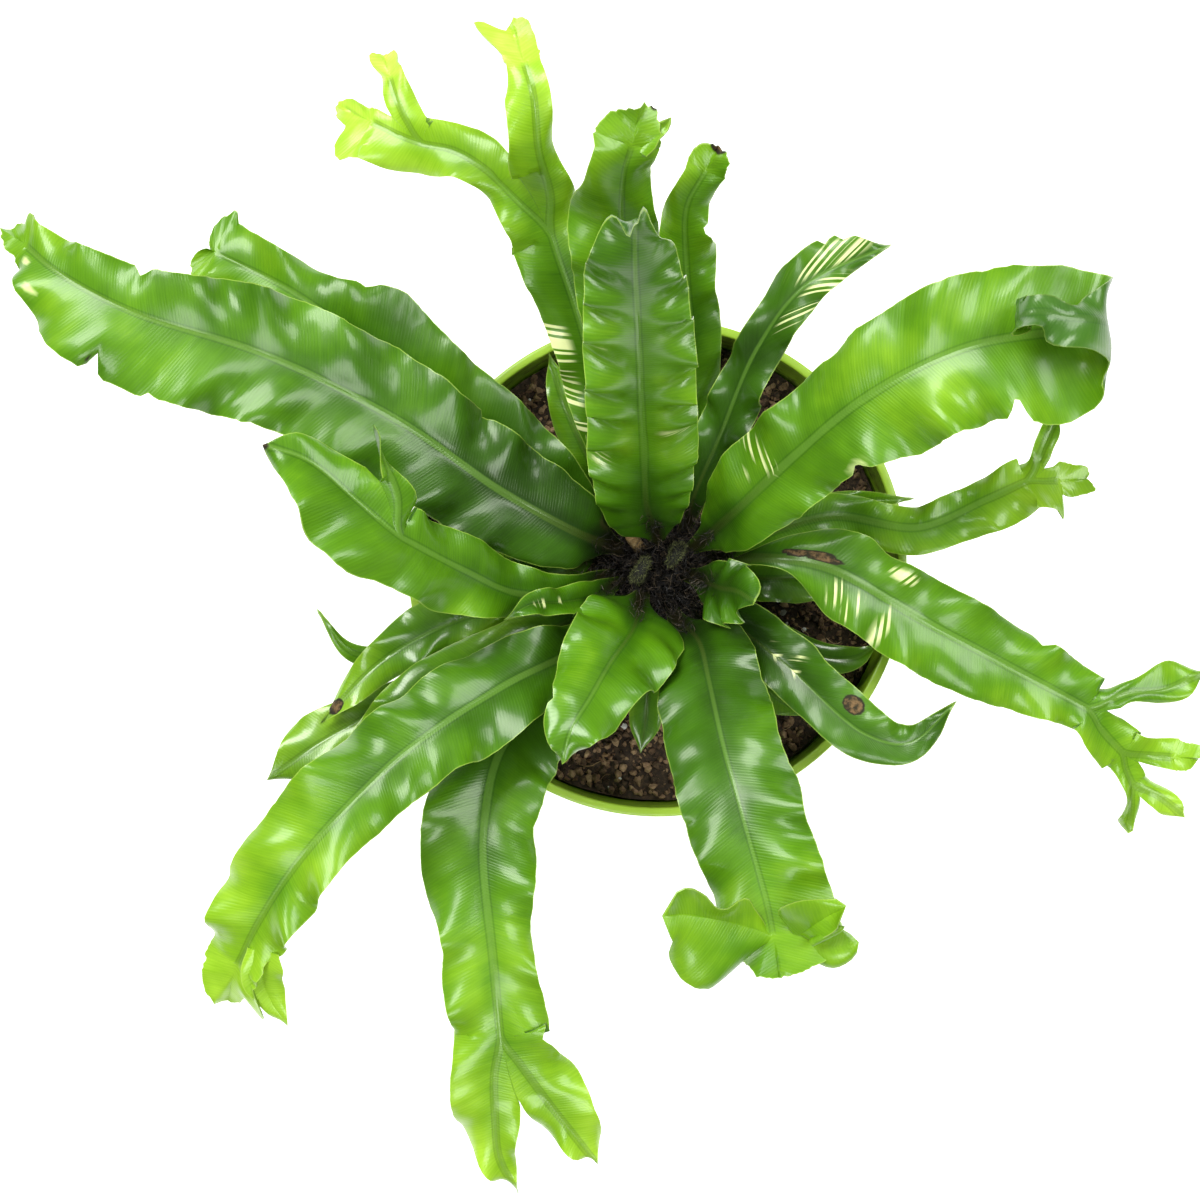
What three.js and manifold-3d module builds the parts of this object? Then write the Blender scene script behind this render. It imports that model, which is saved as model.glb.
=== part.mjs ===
// A bird's nest fern in a round plastic pot. Millimetres, +Z up.
// The origin is the middle of the pot's underside, where the pot stands.
import * as THREE from 'three';
import { mergeVertices } from 'three/addons/utils/BufferGeometryUtils.js';
import Module from 'manifold-3d';

const degrees = THREE.MathUtils.degToRad;
const { smoothstep, lerp, clamp } = THREE.MathUtils;

// The pot: a tapered cup with a straight band and a narrow lip at the top.
const POT_HEIGHT = 128;
const LIP_RADIUS = 80;
const LIP_WIDTH = 3;
const LIP_DEPTH = 4;
const LIP_ROUND = 0.8;
const BAND_RADIUS = 78.4;
const BAND_HEIGHT = 32;
const SHOULDER_RADIUS = 76.6;
const FLOOR_RADIUS = 56;
const WALL = 1.6;
const FLOOR = 2.4;
const FOOT_BEVEL = 2;
const DRAIN_RADIUS = 4;
const DRAIN_CIRCLE = 38;
const DRAINS = 6;
const DRAIN_SIDES = 12;
const POT_SIDES = 48;

// The soil fills the pot and slopes down a little towards +Y.
const SOIL_HEIGHT = 108;
const SOIL_SLOPE = [-0.02, -0.07];
const CLOD_HEIGHT = 1.3;
const CLOD_FINENESS = 0.35;
const SOIL_RINGS = 5;
const SOIL_SIDES = 36;

// The crown: a rounded rootstock that the fronds grow out of.
const CROWN_RADIUS = 15;
const CROWN_RISE = 21;
const CROWN_DEPTH = 14;
const CROWN_SCALE_DEPTH = 0.4;
const CROWN_SCALES_AROUND = 9;
const CROWN_SCALE_TWIST = 2.4;
const CROWN_RINGS = 7;
const CROWN_SIDES = 24;

// Gap that is left between pieces that touch.
const SEAT_GAP = 0.4;

// The blades: a thin sheet on each side of a stouter rib.
const BLADE_HALF = 0.4;
const RIB_HALF_AT_ROOT = 1.3;
const RIB_HALF_AT_TIP = 0.45;
const STALK_LENGTH = 20;
const STALK_START = 6;
const RIB_TAPER_SHARE = 0.8;
const RIPPLE_SLANT = 0.5;
const RIPPLE_BEAT = 2.7;
const RIPPLE_STRAY = 0.9;
const RIPPLE_SIDE_SHIFT = 1.3;
const RIPPLE_FULL_SHARE = 0.4;
const PATH_STEPS = 16;
const SLIMMEST = 0.4;
const FORK_REACH = 60;

// Each frond grows from the crown at an azimuth and a height angle, and then keeps to an upright plane
// at its heading. Its rib passes through points of reach, sway to the left and height above the table.
// Half-widths to the left and right of the rib are given at even stations from the root to the tip.
// The trough is the angle that each half rises from the rib, at the root and at the tip.
// A ripple has a depth and a length. A fork lists its left and its right limb. A fan ends a limb in a
// crest: radii about the rib's end from an angle behind the side round to straight ahead, and a lift.
const LONG_FRONDS = [
  {
    name: 'frond_west_long', azimuth: 154, rise: 44, heading: 154, step: 8, columns: 3,
    trough: [16, 10], ripple: [2.6, 27, 0.4],
    rib: [
      [28, 2, 154], [54, 1, 168], [89, -4, 182], [130, -4, 192], [170, 2, 199], [195, 1, 196],
      [208, -2, 190],
    ],
    left: [2, 8, 16, 19, 21, 20, 21, 23, 23, 20, 7],
    right: [2, 8, 15, 18, 18, 20, 20, 19, 15, 12, 8],
    fan: { from: 90, ahead: 9, lift: 1, left: [6, 5, 7, 8], right: [8, 9, 7, 9] },
  },
  {
    name: 'frond_west_back', azimuth: 142, rise: 24, heading: 146, step: 8, columns: 2,
    trough: [14, 8], ripple: [2.2, 30, 1.9],
    rib: [[32, 0, 141], [69, -4, 156], [110, -6, 166], [140, -6, 171], [170, -3, 168]],
    left: [2, 4, 10, 14, 16, 16, 15, 14, 12, 11, 10],
    right: [2, 4, 10, 14, 15, 16, 17, 20, 9, 5, 6],
    fan: { from: 90, ahead: 2, lift: 0, left: [10, 6], right: [6, 4] },
  },
  {
    name: 'frond_west_lobed', azimuth: 190, rise: 38, heading: 170, step: 6, columns: 3,
    trough: [14, 8], ripple: [1.8, 24, 2.6],
    rib: [[27, 13, 150], [42, 16, 164], [58, 12, 182], [76, 6, 199]],
    left: [2, 4, 5, 7, 12, 16, 16],
    right: [2, 4, 5, 5, 6, 6, 6],
    fork: [
      {
        rib: [[91, -3, 206], [105, -11, 210], [118, -13, 211]],
        left: [16, 20, 20, 18, 14, 9, 0],
        right: [6, 7, 6, 6, 6, 5, 0],
      },
      {
        rib: [[79, -6, 203], [84, -15, 208], [88, -24, 211]],
        left: [6, 6, 5, 4, 0],
        right: [6, 3, 3, 3, 0],
      },
    ],
  },
  {
    name: 'frond_southwest_long', azimuth: 226, rise: 38, heading: 224, step: 8, columns: 3,
    trough: [18, 8], ripple: [2.6, 26, 4.1],
    rib: [[32, 2, 148], [61, -7, 169], [95, -13, 181], [134, -12, 183], [160, -7, 176], [176, -2, 168]],
    left: [2, 5, 8, 13, 17, 16, 14, 12, 13, 12, 9],
    right: [2, 5, 9, 14, 16, 16, 17, 18, 18, 17, 12],
    fan: { from: 85, ahead: 17, lift: -2, left: [9, 10, 19, 12, 15], right: [12, 12, 12, 14, 16] },
  },
  {
    name: 'frond_south_forked', azimuth: 242, rise: 20, heading: 244, step: 8, columns: 3,
    trough: [12, 6], ripple: [2.4, 28, 0.9],
    rib: [[37, -6, 138], [70, -19, 149], [97, -13, 157], [131, 7, 160], [151, 19, 157]],
    left: [2, 4, 8, 12, 18, 19, 16, 17, 13, 14, 16],
    right: [2, 4, 7, 11, 15, 17, 20, 20, 16, 17, 15],
    fork: [
      {
        rib: [[157, 29, 155], [164, 41, 151], [177, 65, 143]],
        left: [16, 13, 12, 13, 11, 8, 0],
        right: [4, 7, 8, 8, 7, 5, 0],
      },
      {
        rib: [[164, 23, 153], [176, 29, 149], [188, 36, 144], [197, 47, 139]],
        left: [4, 7, 8, 8, 6, 4, 0],
        right: [15, 14, 14, 13, 9, 5, 0],
      },
    ],
  },
  {
    name: 'frond_south_curled', azimuth: 290, rise: 36, heading: 287, step: 6, columns: 3,
    trough: [14, 4], ripple: [2.2, 25, 3.3],
    rib: [[27, 5, 148], [38, 4, 160], [55, 2, 174], [73, 1, 184], [104, 0, 190], [113, -1, 191]],
    left: [2, 6, 13, 17, 17, 18, 18, 19, 19, 19, 20],
    right: [2, 5, 9, 14, 17, 18, 18, 18, 17, 15, 14],
    fan: {
      from: 101, ahead: 8, lift: 9,
      left: [21, 23, 23, 20, 12, 9], right: [32, 29, 26, 17, 12, 11],
    },
  },
  {
    name: 'frond_east_forked', azimuth: 354, rise: 36, heading: 347, step: 8, columns: 3,
    trough: [12, 6], ripple: [1.8, 24, 5.2],
    rib: [[28, 9, 148], [50, 11, 157], [82, 2, 155], [109, -5, 151], [140, -13, 146]],
    left: [2, 2, 2, 8, 14, 13, 14, 14, 13, 13, 11],
    right: [2, 2, 2, 4, 13, 15, 16, 16, 14, 11, 8],
    fork: [
      {
        rib: [[150, -6, 149], [161, -2, 152], [171, 6, 153]],
        left: [11, 4, 4, 8, 8, 0],
        right: [4, 4, 3, 4, 5, 0],
      },
      {
        rib: [[147, -19, 143], [155, -24, 140]],
        left: [3, 6, 8, 9],
        right: [8, 8, 8, 8],
        fork: [
          {
            rib: [[165, -23, 138], [172, -22, 138]], left: [8, 6, 6], right: [2, 3, 4],
            fan: { from: 80, ahead: 8, lift: 0, left: [6, 6, 9], right: [4, 5, 7] },
          },
          {
            rib: [[158, -29, 138], [161, -33, 137]], left: [3, 5, 6], right: [8, 4, 4],
            fork: [
              { rib: [[170, -35, 136], [181, -40, 134]], left: [6, 4, 4, 0], right: [3, 4, 4, 0] },
              { rib: [[163, -40, 135], [165, -49, 132]], left: [3, 4, 3, 0], right: [4, 4, 4, 0] },
            ],
          },
        ],
      },
    ],
  },
  {
    name: 'frond_east_mid', azimuth: 10, rise: 24, heading: 12, step: 8, columns: 2,
    trough: [12, 8], ripple: [1.8, 22, 1.1],
    rib: [[34, 3, 136], [57, 4, 141], [82, -5, 147], [103, -1, 152], [116, 2, 155]],
    left: [2, 4, 7, 8, 8, 7, 7, 7, 7, 8],
    right: [2, 4, 8, 11, 11, 9, 9, 9, 11, 10],
    fork: [
      { rib: [[122, 10, 158], [129, 22, 164]], left: [8, 3, 3, 3, 0], right: [4, 4, 3, 3, 0] },
      {
        rib: [[121, 1, 154], [126, 0, 153]], left: [4, 5, 5], right: [10, 10, 10],
        fan: { from: 88, ahead: 9, lift: 1, left: [5, 5, 6, 9], right: [10, 11, 8, 10] },
      },
    ],
  },
  {
    name: 'frond_northeast_big', azimuth: 30, rise: 46, heading: 28, step: 8, columns: 3,
    trough: [18, 4], ripple: [2.2, 27, 2.2],
    rib: [
      [29, 4, 161], [50, 10, 181], [75, 15, 199], [103, 14, 210], [125, 7, 211], [137, 1, 213],
      [139, 0, 219], [134, 3, 225], [122, 8, 227], [109, 12, 226],
    ],
    left: [2, 7, 14, 16, 16, 18, 21, 21, 19, 14, 0],
    right: [2, 7, 13, 16, 17, 22, 24, 22, 19, 15, 0],
  },
  {
    name: 'frond_northeast_narrow', azimuth: 56, rise: 34, heading: 54, step: 8, columns: 2,
    trough: [24, 10], ripple: [1.6, 22, 0.2],
    rib: [[25, 4, 143], [45, 9, 162], [69, 15, 184], [90, 14, 198], [113, 1, 199]],
    left: [2, 4, 6, 8, 8, 6, 5, 5, 8, 9, 0],
    right: [2, 3, 5, 7, 8, 8, 7, 7, 6, 4, 0],
  },
  {
    name: 'frond_north_right', azimuth: 80, rise: 22, heading: 84, step: 8, columns: 2,
    trough: [16, 8], ripple: [1.8, 22, 3.0],
    rib: [[43, -4, 146], [72, -2, 162], [90, 2, 176], [105, 4, 191], [114, 0, 198]],
    left: [2, 4, 8, 10, 11, 11, 11, 9, 7, 6],
    right: [2, 4, 7, 9, 10, 9, 9, 9, 7, 6],
    fan: { from: 88, ahead: 8, lift: 0, left: [6, 7, 8], right: [6, 6, 8] },
  },
  {
    name: 'frond_north_curled', azimuth: 96, rise: 46, heading: 98, step: 8, columns: 2,
    trough: [14, 12], ripple: [1.8, 26, 4.4],
    rib: [
      [25, 1, 145], [45, 0, 162], [70, 0, 185], [95, -1, 210], [108, -3, 227], [114, -6, 232],
    ],
    left: [2, 5, 10, 13, 14, 15, 15, 16, 16, 14, 11],
    right: [2, 4, 8, 10, 11, 11, 12, 12, 11, 9, 8],
    fan: { from: 88, ahead: 11, lift: -2, left: [11, 10, 10, 10], right: [8, 8, 9, 11] },
  },
  {
    name: 'frond_north_forked', azimuth: 112, rise: 28, heading: 107, step: 8, columns: 2,
    trough: [16, 8], ripple: [1.6, 25, 1.5],
    rib: [[26, 4, 134], [42, 4, 145], [69, 2, 160], [103, 3, 180]],
    left: [2, 4, 7, 10, 11, 12, 13],
    right: [2, 3, 6, 9, 11, 12, 12],
    fork: [
      {
        rib: [[114, 9, 186], [126, 16, 188], [134, 23, 187], [139, 31, 185]],
        left: [14, 11, 8, 6, 7, 9, 9],
        right: [3, 5, 7, 8, 9, 8, 8],
        fork: [
          {
            rib: [[144, 37, 182], [151, 44, 180]],
            left: [9, 11, 12], right: [4, 4, 4],
            fan: { from: 88, ahead: 12, lift: 1, left: [12, 15, 13, 9, 11], right: [4, 4, 4, 6, 10] },
          },
          {
            rib: [[148, 34, 184], [156, 35, 182], [162, 35, 181]],
            left: [4, 4, 4, 3], right: [8, 6, 5, 5],
            fan: { from: 80, ahead: 7, lift: 0, left: [3, 4, 9], right: [5, 5, 8] },
          },
        ],
      },
      {
        rib: [[113, 0, 191], [124, 0, 203], [138, -3, 212], [147, -3, 211]],
        left: [5, 7, 9, 10, 9, 8, 5],
        right: [12, 9, 7, 5, 5, 5, 5],
        fan: { from: 85, ahead: 12, lift: 1, left: [5, 6, 8, 18, 11], right: [5, 6, 7, 10, 13] },
      },
    ],
  },
  {
    name: 'frond_southeast', azimuth: 328, rise: 24, heading: 332, step: 8, columns: 2,
    trough: [20, 14], ripple: [1.4, 22, 2.0],
    rib: [[28, -4, 135], [51, -9, 149], [80, -16, 157], [93, -12, 158], [99, 6, 163]],
    left: [2, 5, 8, 9, 9, 9, 9, 9, 7, 4, 0],
    right: [2, 3, 4, 6, 7, 8, 7, 8, 6, 4, 0],
  },
];

const INNER_FRONDS = [
  {
    name: 'frond_inner_north', azimuth: 92, rise: 62, heading: 91, step: 8, columns: 3,
    trough: [18, 10], ripple: [1.2, 30, 0.6],
    rib: [[20, 4, 160], [34, 5, 186], [46, 6, 209], [63, 7, 238], [76, 8, 258], [86, 8, 272], [84, 8, 281]],
    left: [2, 12, 16, 18, 18, 17, 17, 16, 15, 12, 0],
    right: [2, 9, 14, 16, 17, 17, 17, 17, 14, 10, 0],
  },
  {
    name: 'frond_inner_southwest', azimuth: 240, rise: 58, heading: 239, step: 6, columns: 3,
    trough: [16, 12], ripple: [1.6, 20, 2.9],
    rib: [[22, 3, 154], [33, 2, 168], [45, 2, 178], [56, 2, 184], [66, 5, 182]],
    left: [2, 6, 13, 18, 18, 18, 16, 13, 12, 8, 0],
    right: [2, 5, 12, 17, 19, 19, 17, 14, 12, 8, 0],
  },
  {
    name: 'frond_inner_east', azimuth: 345, rise: 56, heading: 346, step: 5, columns: 3,
    trough: [10, -14], ripple: [2.0, 14, 1.2],
    rib: [[20, -2, 153], [25, -2, 164], [30, -4, 172]],
    left: [2, 4, 7, 9, 9, 7, 0],
    right: [2, 4, 8, 11, 11, 8, 0],
  },
  {
    name: 'frond_inner_west', azimuth: 201, rise: 46, heading: 197, step: 6, columns: 2,
    trough: [30, 34], ripple: [0.8, 20, 0.2],
    rib: [[23, 3, 146], [32, 2, 160], [42, 0, 173], [50, 2, 178]],
    left: [2, 4, 6, 7, 6, 5, 0],
    right: [2, 4, 6, 7, 6, 5, 0],
  },
];

const LOW_FRONDS = [
  {
    name: 'frond_west_dark', azimuth: 198, rise: 20, heading: 203, step: 8, columns: 2,
    trough: [12, 10], ripple: [1.2, 26, 0.5],
    rib: [[33, -4, 133], [60, -9, 141], [90, -7, 146], [117, 4, 144]],
    left: [2, 3, 5, 7, 8, 8, 7, 5, 0], right: [2, 3, 6, 9, 10, 10, 7, 4, 0],
  },
  {
    name: 'frond_west_thin', azimuth: 186, rise: 10, heading: 196, step: 10, columns: 2,
    trough: [12, 10], ripple: [0.6, 26, 2.5],
    rib: [[34, 4, 119], [60, 7, 124], [82, 6, 131], [101, -1, 137], [107, -17, 142]],
    left: [2, 2, 3, 4, 4, 3, 0], right: [2, 2, 3, 4, 4, 3, 0],
  },
  {
    name: 'frond_west_under', azimuth: 164, rise: 12, heading: 178, step: 8, columns: 2,
    trough: [12, 8], ripple: [1.2, 24, 1.5],
    rib: [[31, 3, 125], [50, 1, 130], [66, 0, 133]],
    left: [2, 4, 7, 8, 6, 4, 0], right: [2, 4, 7, 8, 6, 4, 0],
  },
  {
    name: 'frond_southwest_under', azimuth: 224, rise: 14, heading: 207, step: 8, columns: 2,
    trough: [12, 6], ripple: [1.4, 26, 3.5],
    rib: [[28, 7, 123], [50, 4, 129], [90, 1, 136], [119, 1, 140], [141, 4, 138]],
    left: [2, 3, 5, 7, 8, 9, 10, 11, 0], right: [2, 3, 4, 5, 6, 7, 9, 10, 0],
  },
  {
    name: 'frond_southwest_round', azimuth: 213, rise: 30, heading: 204, step: 8, columns: 2,
    trough: [12, 6], ripple: [1.4, 26, 4.5],
    rib: [[28, 4, 136], [50, 5, 145], [80, 6, 153], [107, 7, 154]],
    left: [2, 3, 6, 9, 10, 10, 7, 0], right: [2, 3, 6, 9, 10, 10, 7, 0],
  },
  {
    name: 'frond_northwest_slim', azimuth: 122, rise: 12, heading: 117, step: 8, columns: 2,
    trough: [14, 10], ripple: [0.8, 24, 0.7],
    rib: [[40, 4, 128], [61, 3, 131], [77, 0, 135]],
    left: [2, 3, 5, 6, 6, 4, 0], right: [2, 3, 5, 6, 6, 4, 0],
  },
  {
    name: 'frond_east_slim', azimuth: 28, rise: 6, heading: 17, step: 10, columns: 2,
    trough: [14, 10], ripple: [0.6, 24, 1.7],
    rib: [[35, 2, 126], [58, 3, 131], [84, -3, 137]],
    left: [2, 3, 4, 5, 4, 3, 0], right: [2, 3, 4, 5, 4, 3, 0],
  },
  {
    name: 'frond_east_low', azimuth: 352, rise: 10, heading: 357, step: 8, columns: 2,
    trough: [14, 8], ripple: [1.0, 22, 2.7],
    rib: [[33, -2, 128], [52, -1, 132], [68, -2, 133]],
    left: [2, 4, 7, 8, 8, 5, 0], right: [2, 4, 7, 8, 8, 5, 0],
  },
  {
    name: 'frond_east_small', azimuth: 334, rise: 11, heading: 338, step: 10, columns: 2,
    trough: [14, 10], ripple: [0.5, 22, 3.7],
    rib: [[37, -3, 120], [59, -7, 124], [70, -3, 128], [75, 5, 133]],
    left: [2, 2, 3, 4, 5, 4, 0], right: [2, 2, 3, 4, 5, 4, 0],
  },
  {
    name: 'frond_southeast_dark', azimuth: 306, rise: 8, heading: 308, step: 8, columns: 2,
    trough: [14, 10], ripple: [0.8, 22, 4.7],
    rib: [[38, 0, 124], [55, 4, 128], [68, 9, 130]],
    left: [2, 3, 5, 7, 7, 5, 0], right: [2, 3, 5, 7, 7, 5, 0],
  },
  {
    name: 'frond_south_small', azimuth: 264, rise: 8, heading: 262, step: 8, columns: 2,
    trough: [16, 12], ripple: [1.0, 18, 5.7],
    rib: [[33, 2, 121], [49, 3, 124], [60, 3, 123]],
    left: [2, 3, 5, 7, 6, 5, 0], right: [2, 3, 5, 7, 6, 5, 0],
  },
];

// The rolled buds in the crown, and the stump of an old stalk.
const CROZIERS = [
  { name: 'crozier_middle', azimuth: 205, rise: 70, heading: 60, coil: 3.4 },
  { name: 'crozier_front', azimuth: 42, rise: 66, heading: 240, coil: 3.0 },
];
const CROZIER_THICKNESS = 1.9;
const CROZIER_NECK = 5;
const CROZIER_TURN = degrees(250);
const CROZIER_STEPS = 8;
const CROZIER_SIDES = 8;
const CROZIER_CLOSING = 0.45;
const CROZIER_TAPER = 0.5;
const STUB = { name: 'stalk_stub', azimuth: 132, rise: 56, length: 7, radius: 2.1, endRadius: 1.7 };
const STUB_SIDES = 10;

const upright = new THREE.Vector3(0, 0, 1);

// The point on the crown's skin at an azimuth and a height angle, and the direction straight out of it.
function crownSeat(azimuth, rise, gap) {
  const a = degrees(azimuth);
  const r = degrees(rise);
  const out = new THREE.Vector3(Math.cos(r) * Math.cos(a), Math.cos(r) * Math.sin(a), Math.sin(r));
  const place = new THREE.Vector3(
    CROWN_RADIUS * out.x, CROWN_RADIUS * out.y, SOIL_HEIGHT + CROWN_RISE * out.z);
  const normal = new THREE.Vector3(
    out.x / CROWN_RADIUS, out.y / CROWN_RADIUS, out.z / CROWN_RISE).normalize();
  return { place: place.addScaledVector(normal, gap), normal };
}

// A point of a frond's own plane, given as reach, sway to the left and height.
function inPlane(heading, [reach, sway, height]) {
  const a = degrees(heading);
  return new THREE.Vector3(
    reach * Math.cos(a) - sway * Math.sin(a), reach * Math.sin(a) + sway * Math.cos(a), height);
}

// A smooth path through the points, measured from the point numbered first.
function smoothPath(points, first) {
  const curve = new THREE.CatmullRomCurve3(points, false, 'centripetal');
  const spans = points.length - 1;
  const trail = [];
  for (let i = first * PATH_STEPS; i <= spans * PATH_STEPS; i++) {
    trail.push(curve.getPoint(i / (spans * PATH_STEPS)));
  }
  const marks = [0];
  for (let i = 1; i < trail.length; i++) {
    marks.push(marks[i - 1] + trail[i].distanceTo(trail[i - 1]));
  }
  const length = marks[marks.length - 1];
  const at = (distance) => {
    let i = 1;
    while (i < marks.length - 1 && marks[i] < distance) i++;
    const part = (distance - marks[i - 1]) / (marks[i] - marks[i - 1]);
    return trail[i - 1].clone().lerp(trail[i], part);
  };
  return { at, length };
}

// The value at a share of the way through a list of evenly spaced stations, on a smooth curve.
function stationValue(list, share) {
  const x = clamp(share, 0, 1) * (list.length - 1);
  const i = Math.min(Math.floor(x), list.length - 2);
  const before = list[Math.max(i - 1, 0)];
  const after = list[Math.min(i + 2, list.length - 1)];
  const t = x - i;
  const slopeA = (list[i + 1] - before) / 2;
  const slopeB = (after - list[i]) / 2;
  const rise = list[i + 1] - list[i];
  const value = list[i] + slopeA * t + (3 * rise - 2 * slopeA - slopeB) * t * t
    + (slopeA + slopeB - 2 * rise) * t * t * t;
  return Math.max(SLIMMEST, value);
}

// A thin sheet that is drawn once and then thickened into a closed solid.
class Sheet {
  constructor() {
    this.points = [];
    this.halves = [];
    this.faces = [];
    this.known = new Map();
  }

  point(place, half) {
    const key = place.toArray().map((v) => v.toFixed(3)).join();
    if (this.known.has(key)) return this.known.get(key);
    this.points.push(place.clone());
    this.halves.push(half);
    this.known.set(key, this.points.length - 1);
    return this.points.length - 1;
  }

  face(a, b, c) {
    if (a !== b && b !== c && c !== a) this.faces.push([a, b, c]);
  }

  // Joins two rows of points, each listed from the rib out, so that both halves face up.
  strip(row, next, isLeft) {
    for (let j = 0; j < row.length - 1; j++) {
      const [a, b, c, d] = [row[j], next[j], next[j + 1], row[j + 1]];
      if (isLeft) {
        this.face(a, b, c);
        this.face(a, c, d);
      } else {
        this.face(a, c, b);
        this.face(a, d, c);
      }
    }
  }

  solid() {
    const normals = this.points.map(() => new THREE.Vector3());
    const edges = new Set();
    for (const [a, b, c] of this.faces) {
      const [p, q, r] = [a, b, c].map((i) => this.points[i]);
      const across = q.clone().sub(p).cross(r.clone().sub(p));
      for (const i of [a, b, c]) normals[i].add(across);
      for (const [i, j] of [[a, b], [b, c], [c, a]]) edges.add(`${i},${j}`);
    }
    const count = this.points.length;
    const places = [];
    for (const sign of [1, -1]) {
      this.points.forEach((p, i) => {
        const shift = normals[i].clone().normalize().multiplyScalar(sign * this.halves[i]);
        places.push(...p.clone().add(shift).toArray());
      });
    }
    const order = [];
    for (const [a, b, c] of this.faces) order.push(a, b, c, a + count, c + count, b + count);
    for (const edge of edges) {
      const [i, j] = edge.split(',').map(Number);
      if (!edges.has(`${j},${i}`)) order.push(j, i, i + count, j, i + count, j + count);
    }
    const geometry = new THREE.BufferGeometry();
    geometry.setAttribute('position', new THREE.Float32BufferAttribute(places, 3));
    geometry.setIndex(order);
    return geometry;
  }
}

// The rows of a limb: where its rib runs, which way is left, and which way its face looks.
function limbRows(frond, limb, before, first, along, side) {
  const points = before.concat(limb.rib.map((point) => inPlane(frond.heading, point)));
  const path = smoothPath(points, first);
  const count = Math.max(3, Math.round(path.length / frond.step));
  let left = side;
  const rows = [];
  for (let i = 0; i <= count; i++) {
    const share = i / count;
    const here = share * path.length;
    const ahead = path.at(Math.min(here + 1, path.length));
    const behind = path.at(Math.max(here - 1, 0));
    const tangent = ahead.sub(behind).normalize();
    left = left.clone().addScaledVector(tangent, -left.dot(tangent)).normalize();
    const face = tangent.clone().cross(left).normalize();
    rows.push({ rib: path.at(here), left, face, share, along: along + here });
  }
  return { rows, points, length: path.length, left };
}

// Half the thickness of the rib and of the blade beside it, at a distance from the root.
function ribHalf(frond, along) {
  return lerp(RIB_HALF_AT_ROOT, RIB_HALF_AT_TIP, smoothstep(along, 0, RIB_TAPER_SHARE * frond.length));
}

function bladeHalf(along) {
  return lerp(RIB_HALF_AT_ROOT, BLADE_HALF, smoothstep(along, 0, STALK_LENGTH));
}

// How far the blade waves off its own plane. The waves slant towards the tip and grow to the margin.
function rippleAt(frond, along, across, width, sign) {
  const [depth, length, phase] = frond.ripple;
  const run = along - RIPPLE_SLANT * across * width;
  const turn = 2 * Math.PI * run / length;
  const stray = RIPPLE_STRAY * Math.sin(turn / RIPPLE_BEAT + phase);
  const wave = Math.sin(turn + phase + stray + RIPPLE_SIDE_SHIFT * sign);
  const growth = smoothstep(along, STALK_LENGTH, RIPPLE_FULL_SHARE * frond.length);
  return depth * across * across * wave * growth;
}

// One half of one row, from the rib to the margin.
function halfRow(sheet, frond, row, width, sign) {
  const cells = frond.columns;
  const rise = degrees(lerp(frond.trough[0], frond.trough[1], row.along / frond.length));
  const indices = [sheet.point(row.rib, ribHalf(frond, row.along))];
  for (let j = 1; j <= cells; j++) {
    const across = j / cells;
    const wave = rippleAt(frond, row.along, across, width, sign);
    const place = row.rib.clone()
      .addScaledVector(row.left, sign * width * across * Math.cos(rise))
      .addScaledVector(row.face, width * across * Math.sin(rise) + wave);
    indices.push(sheet.point(place, bladeHalf(row.along)));
  }
  return indices;
}

// The inner half of a forked limb's row, which ends on the seam between the two limbs.
function seamRow(sheet, frond, row, seam) {
  const indices = [sheet.point(row.rib, ribHalf(frond, row.along))];
  for (let j = 1; j <= frond.columns; j++) {
    indices.push(sheet.point(row.rib.clone().lerp(seam, j / frond.columns), BLADE_HALF));
  }
  return indices;
}

// One half of the crest that ends a limb, laid from its last row round to straight ahead.
function layFan(sheet, frond, fan, row, isLeft, start) {
  const radii = (isLeft ? fan.left : fan.right).concat(fan.ahead);
  const longest = Math.max(...fan.left, ...fan.right);
  const tangent = row.left.clone().cross(row.face);
  let last = start;
  radii.forEach((radius, k) => {
    const angle = degrees(fan.from) * (1 - k / (radii.length - 1));
    const out = tangent.clone().multiplyScalar(Math.cos(angle))
      .addScaledVector(row.left, (isLeft ? 1 : -1) * Math.sin(angle));
    const next = [sheet.point(row.rib, ribHalf(frond, row.along))];
    for (let j = 1; j <= frond.columns; j++) {
      const across = j / frond.columns;
      const lift = fan.lift * across * across * (radius / longest) ** 2;
      next.push(sheet.point(row.rib.clone()
        .addScaledVector(out, radius * across).addScaledVector(row.face, lift), BLADE_HALF));
    }
    sheet.strip(last, next, isLeft);
    last = next;
  });
  return last;
}

// Lays one half of a limb and gives back its last row.
function layHalf(sheet, frond, limb, rows, isLeft, start, partner) {
  const widths = isLeft ? limb.left : limb.right;
  const sign = isLeft ? 1 : -1;
  let last = start;
  let joined = Boolean(partner);
  const end = limb.fan ? rows.length - 1 : rows.length;
  for (let i = start ? 1 : 0; i < end; i++) {
    const row = rows[i];
    const width = stationValue(widths, row.share);
    if (joined && i > 0) {
      const other = partner.rows[Math.min(i, partner.rows.length - 1)];
      const spread = row.rib.distanceTo(other.rib);
      const reach = width + stationValue(isLeft ? partner.limb.right : partner.limb.left, other.share);
      joined = i < rows.length - 1 && i < partner.rows.length - 1 && reach > spread;
      row.seam = joined ? row.rib.clone().lerp(other.rib, 0.5) : null;
    }
    let next;
    if (i === rows.length - 1 && !limb.fork) {
      next = Array(frond.columns + 1).fill(sheet.point(row.rib, BLADE_HALF));
    } else if (joined) {
      next = seamRow(sheet, frond, row, row.seam);
    } else {
      next = halfRow(sheet, frond, row, width, sign);
    }
    if (last) sheet.strip(last, next, isLeft);
    last = next;
  }
  return limb.fan ? layFan(sheet, frond, limb.fan, rows[end], isLeft, last) : last;
}

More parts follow.
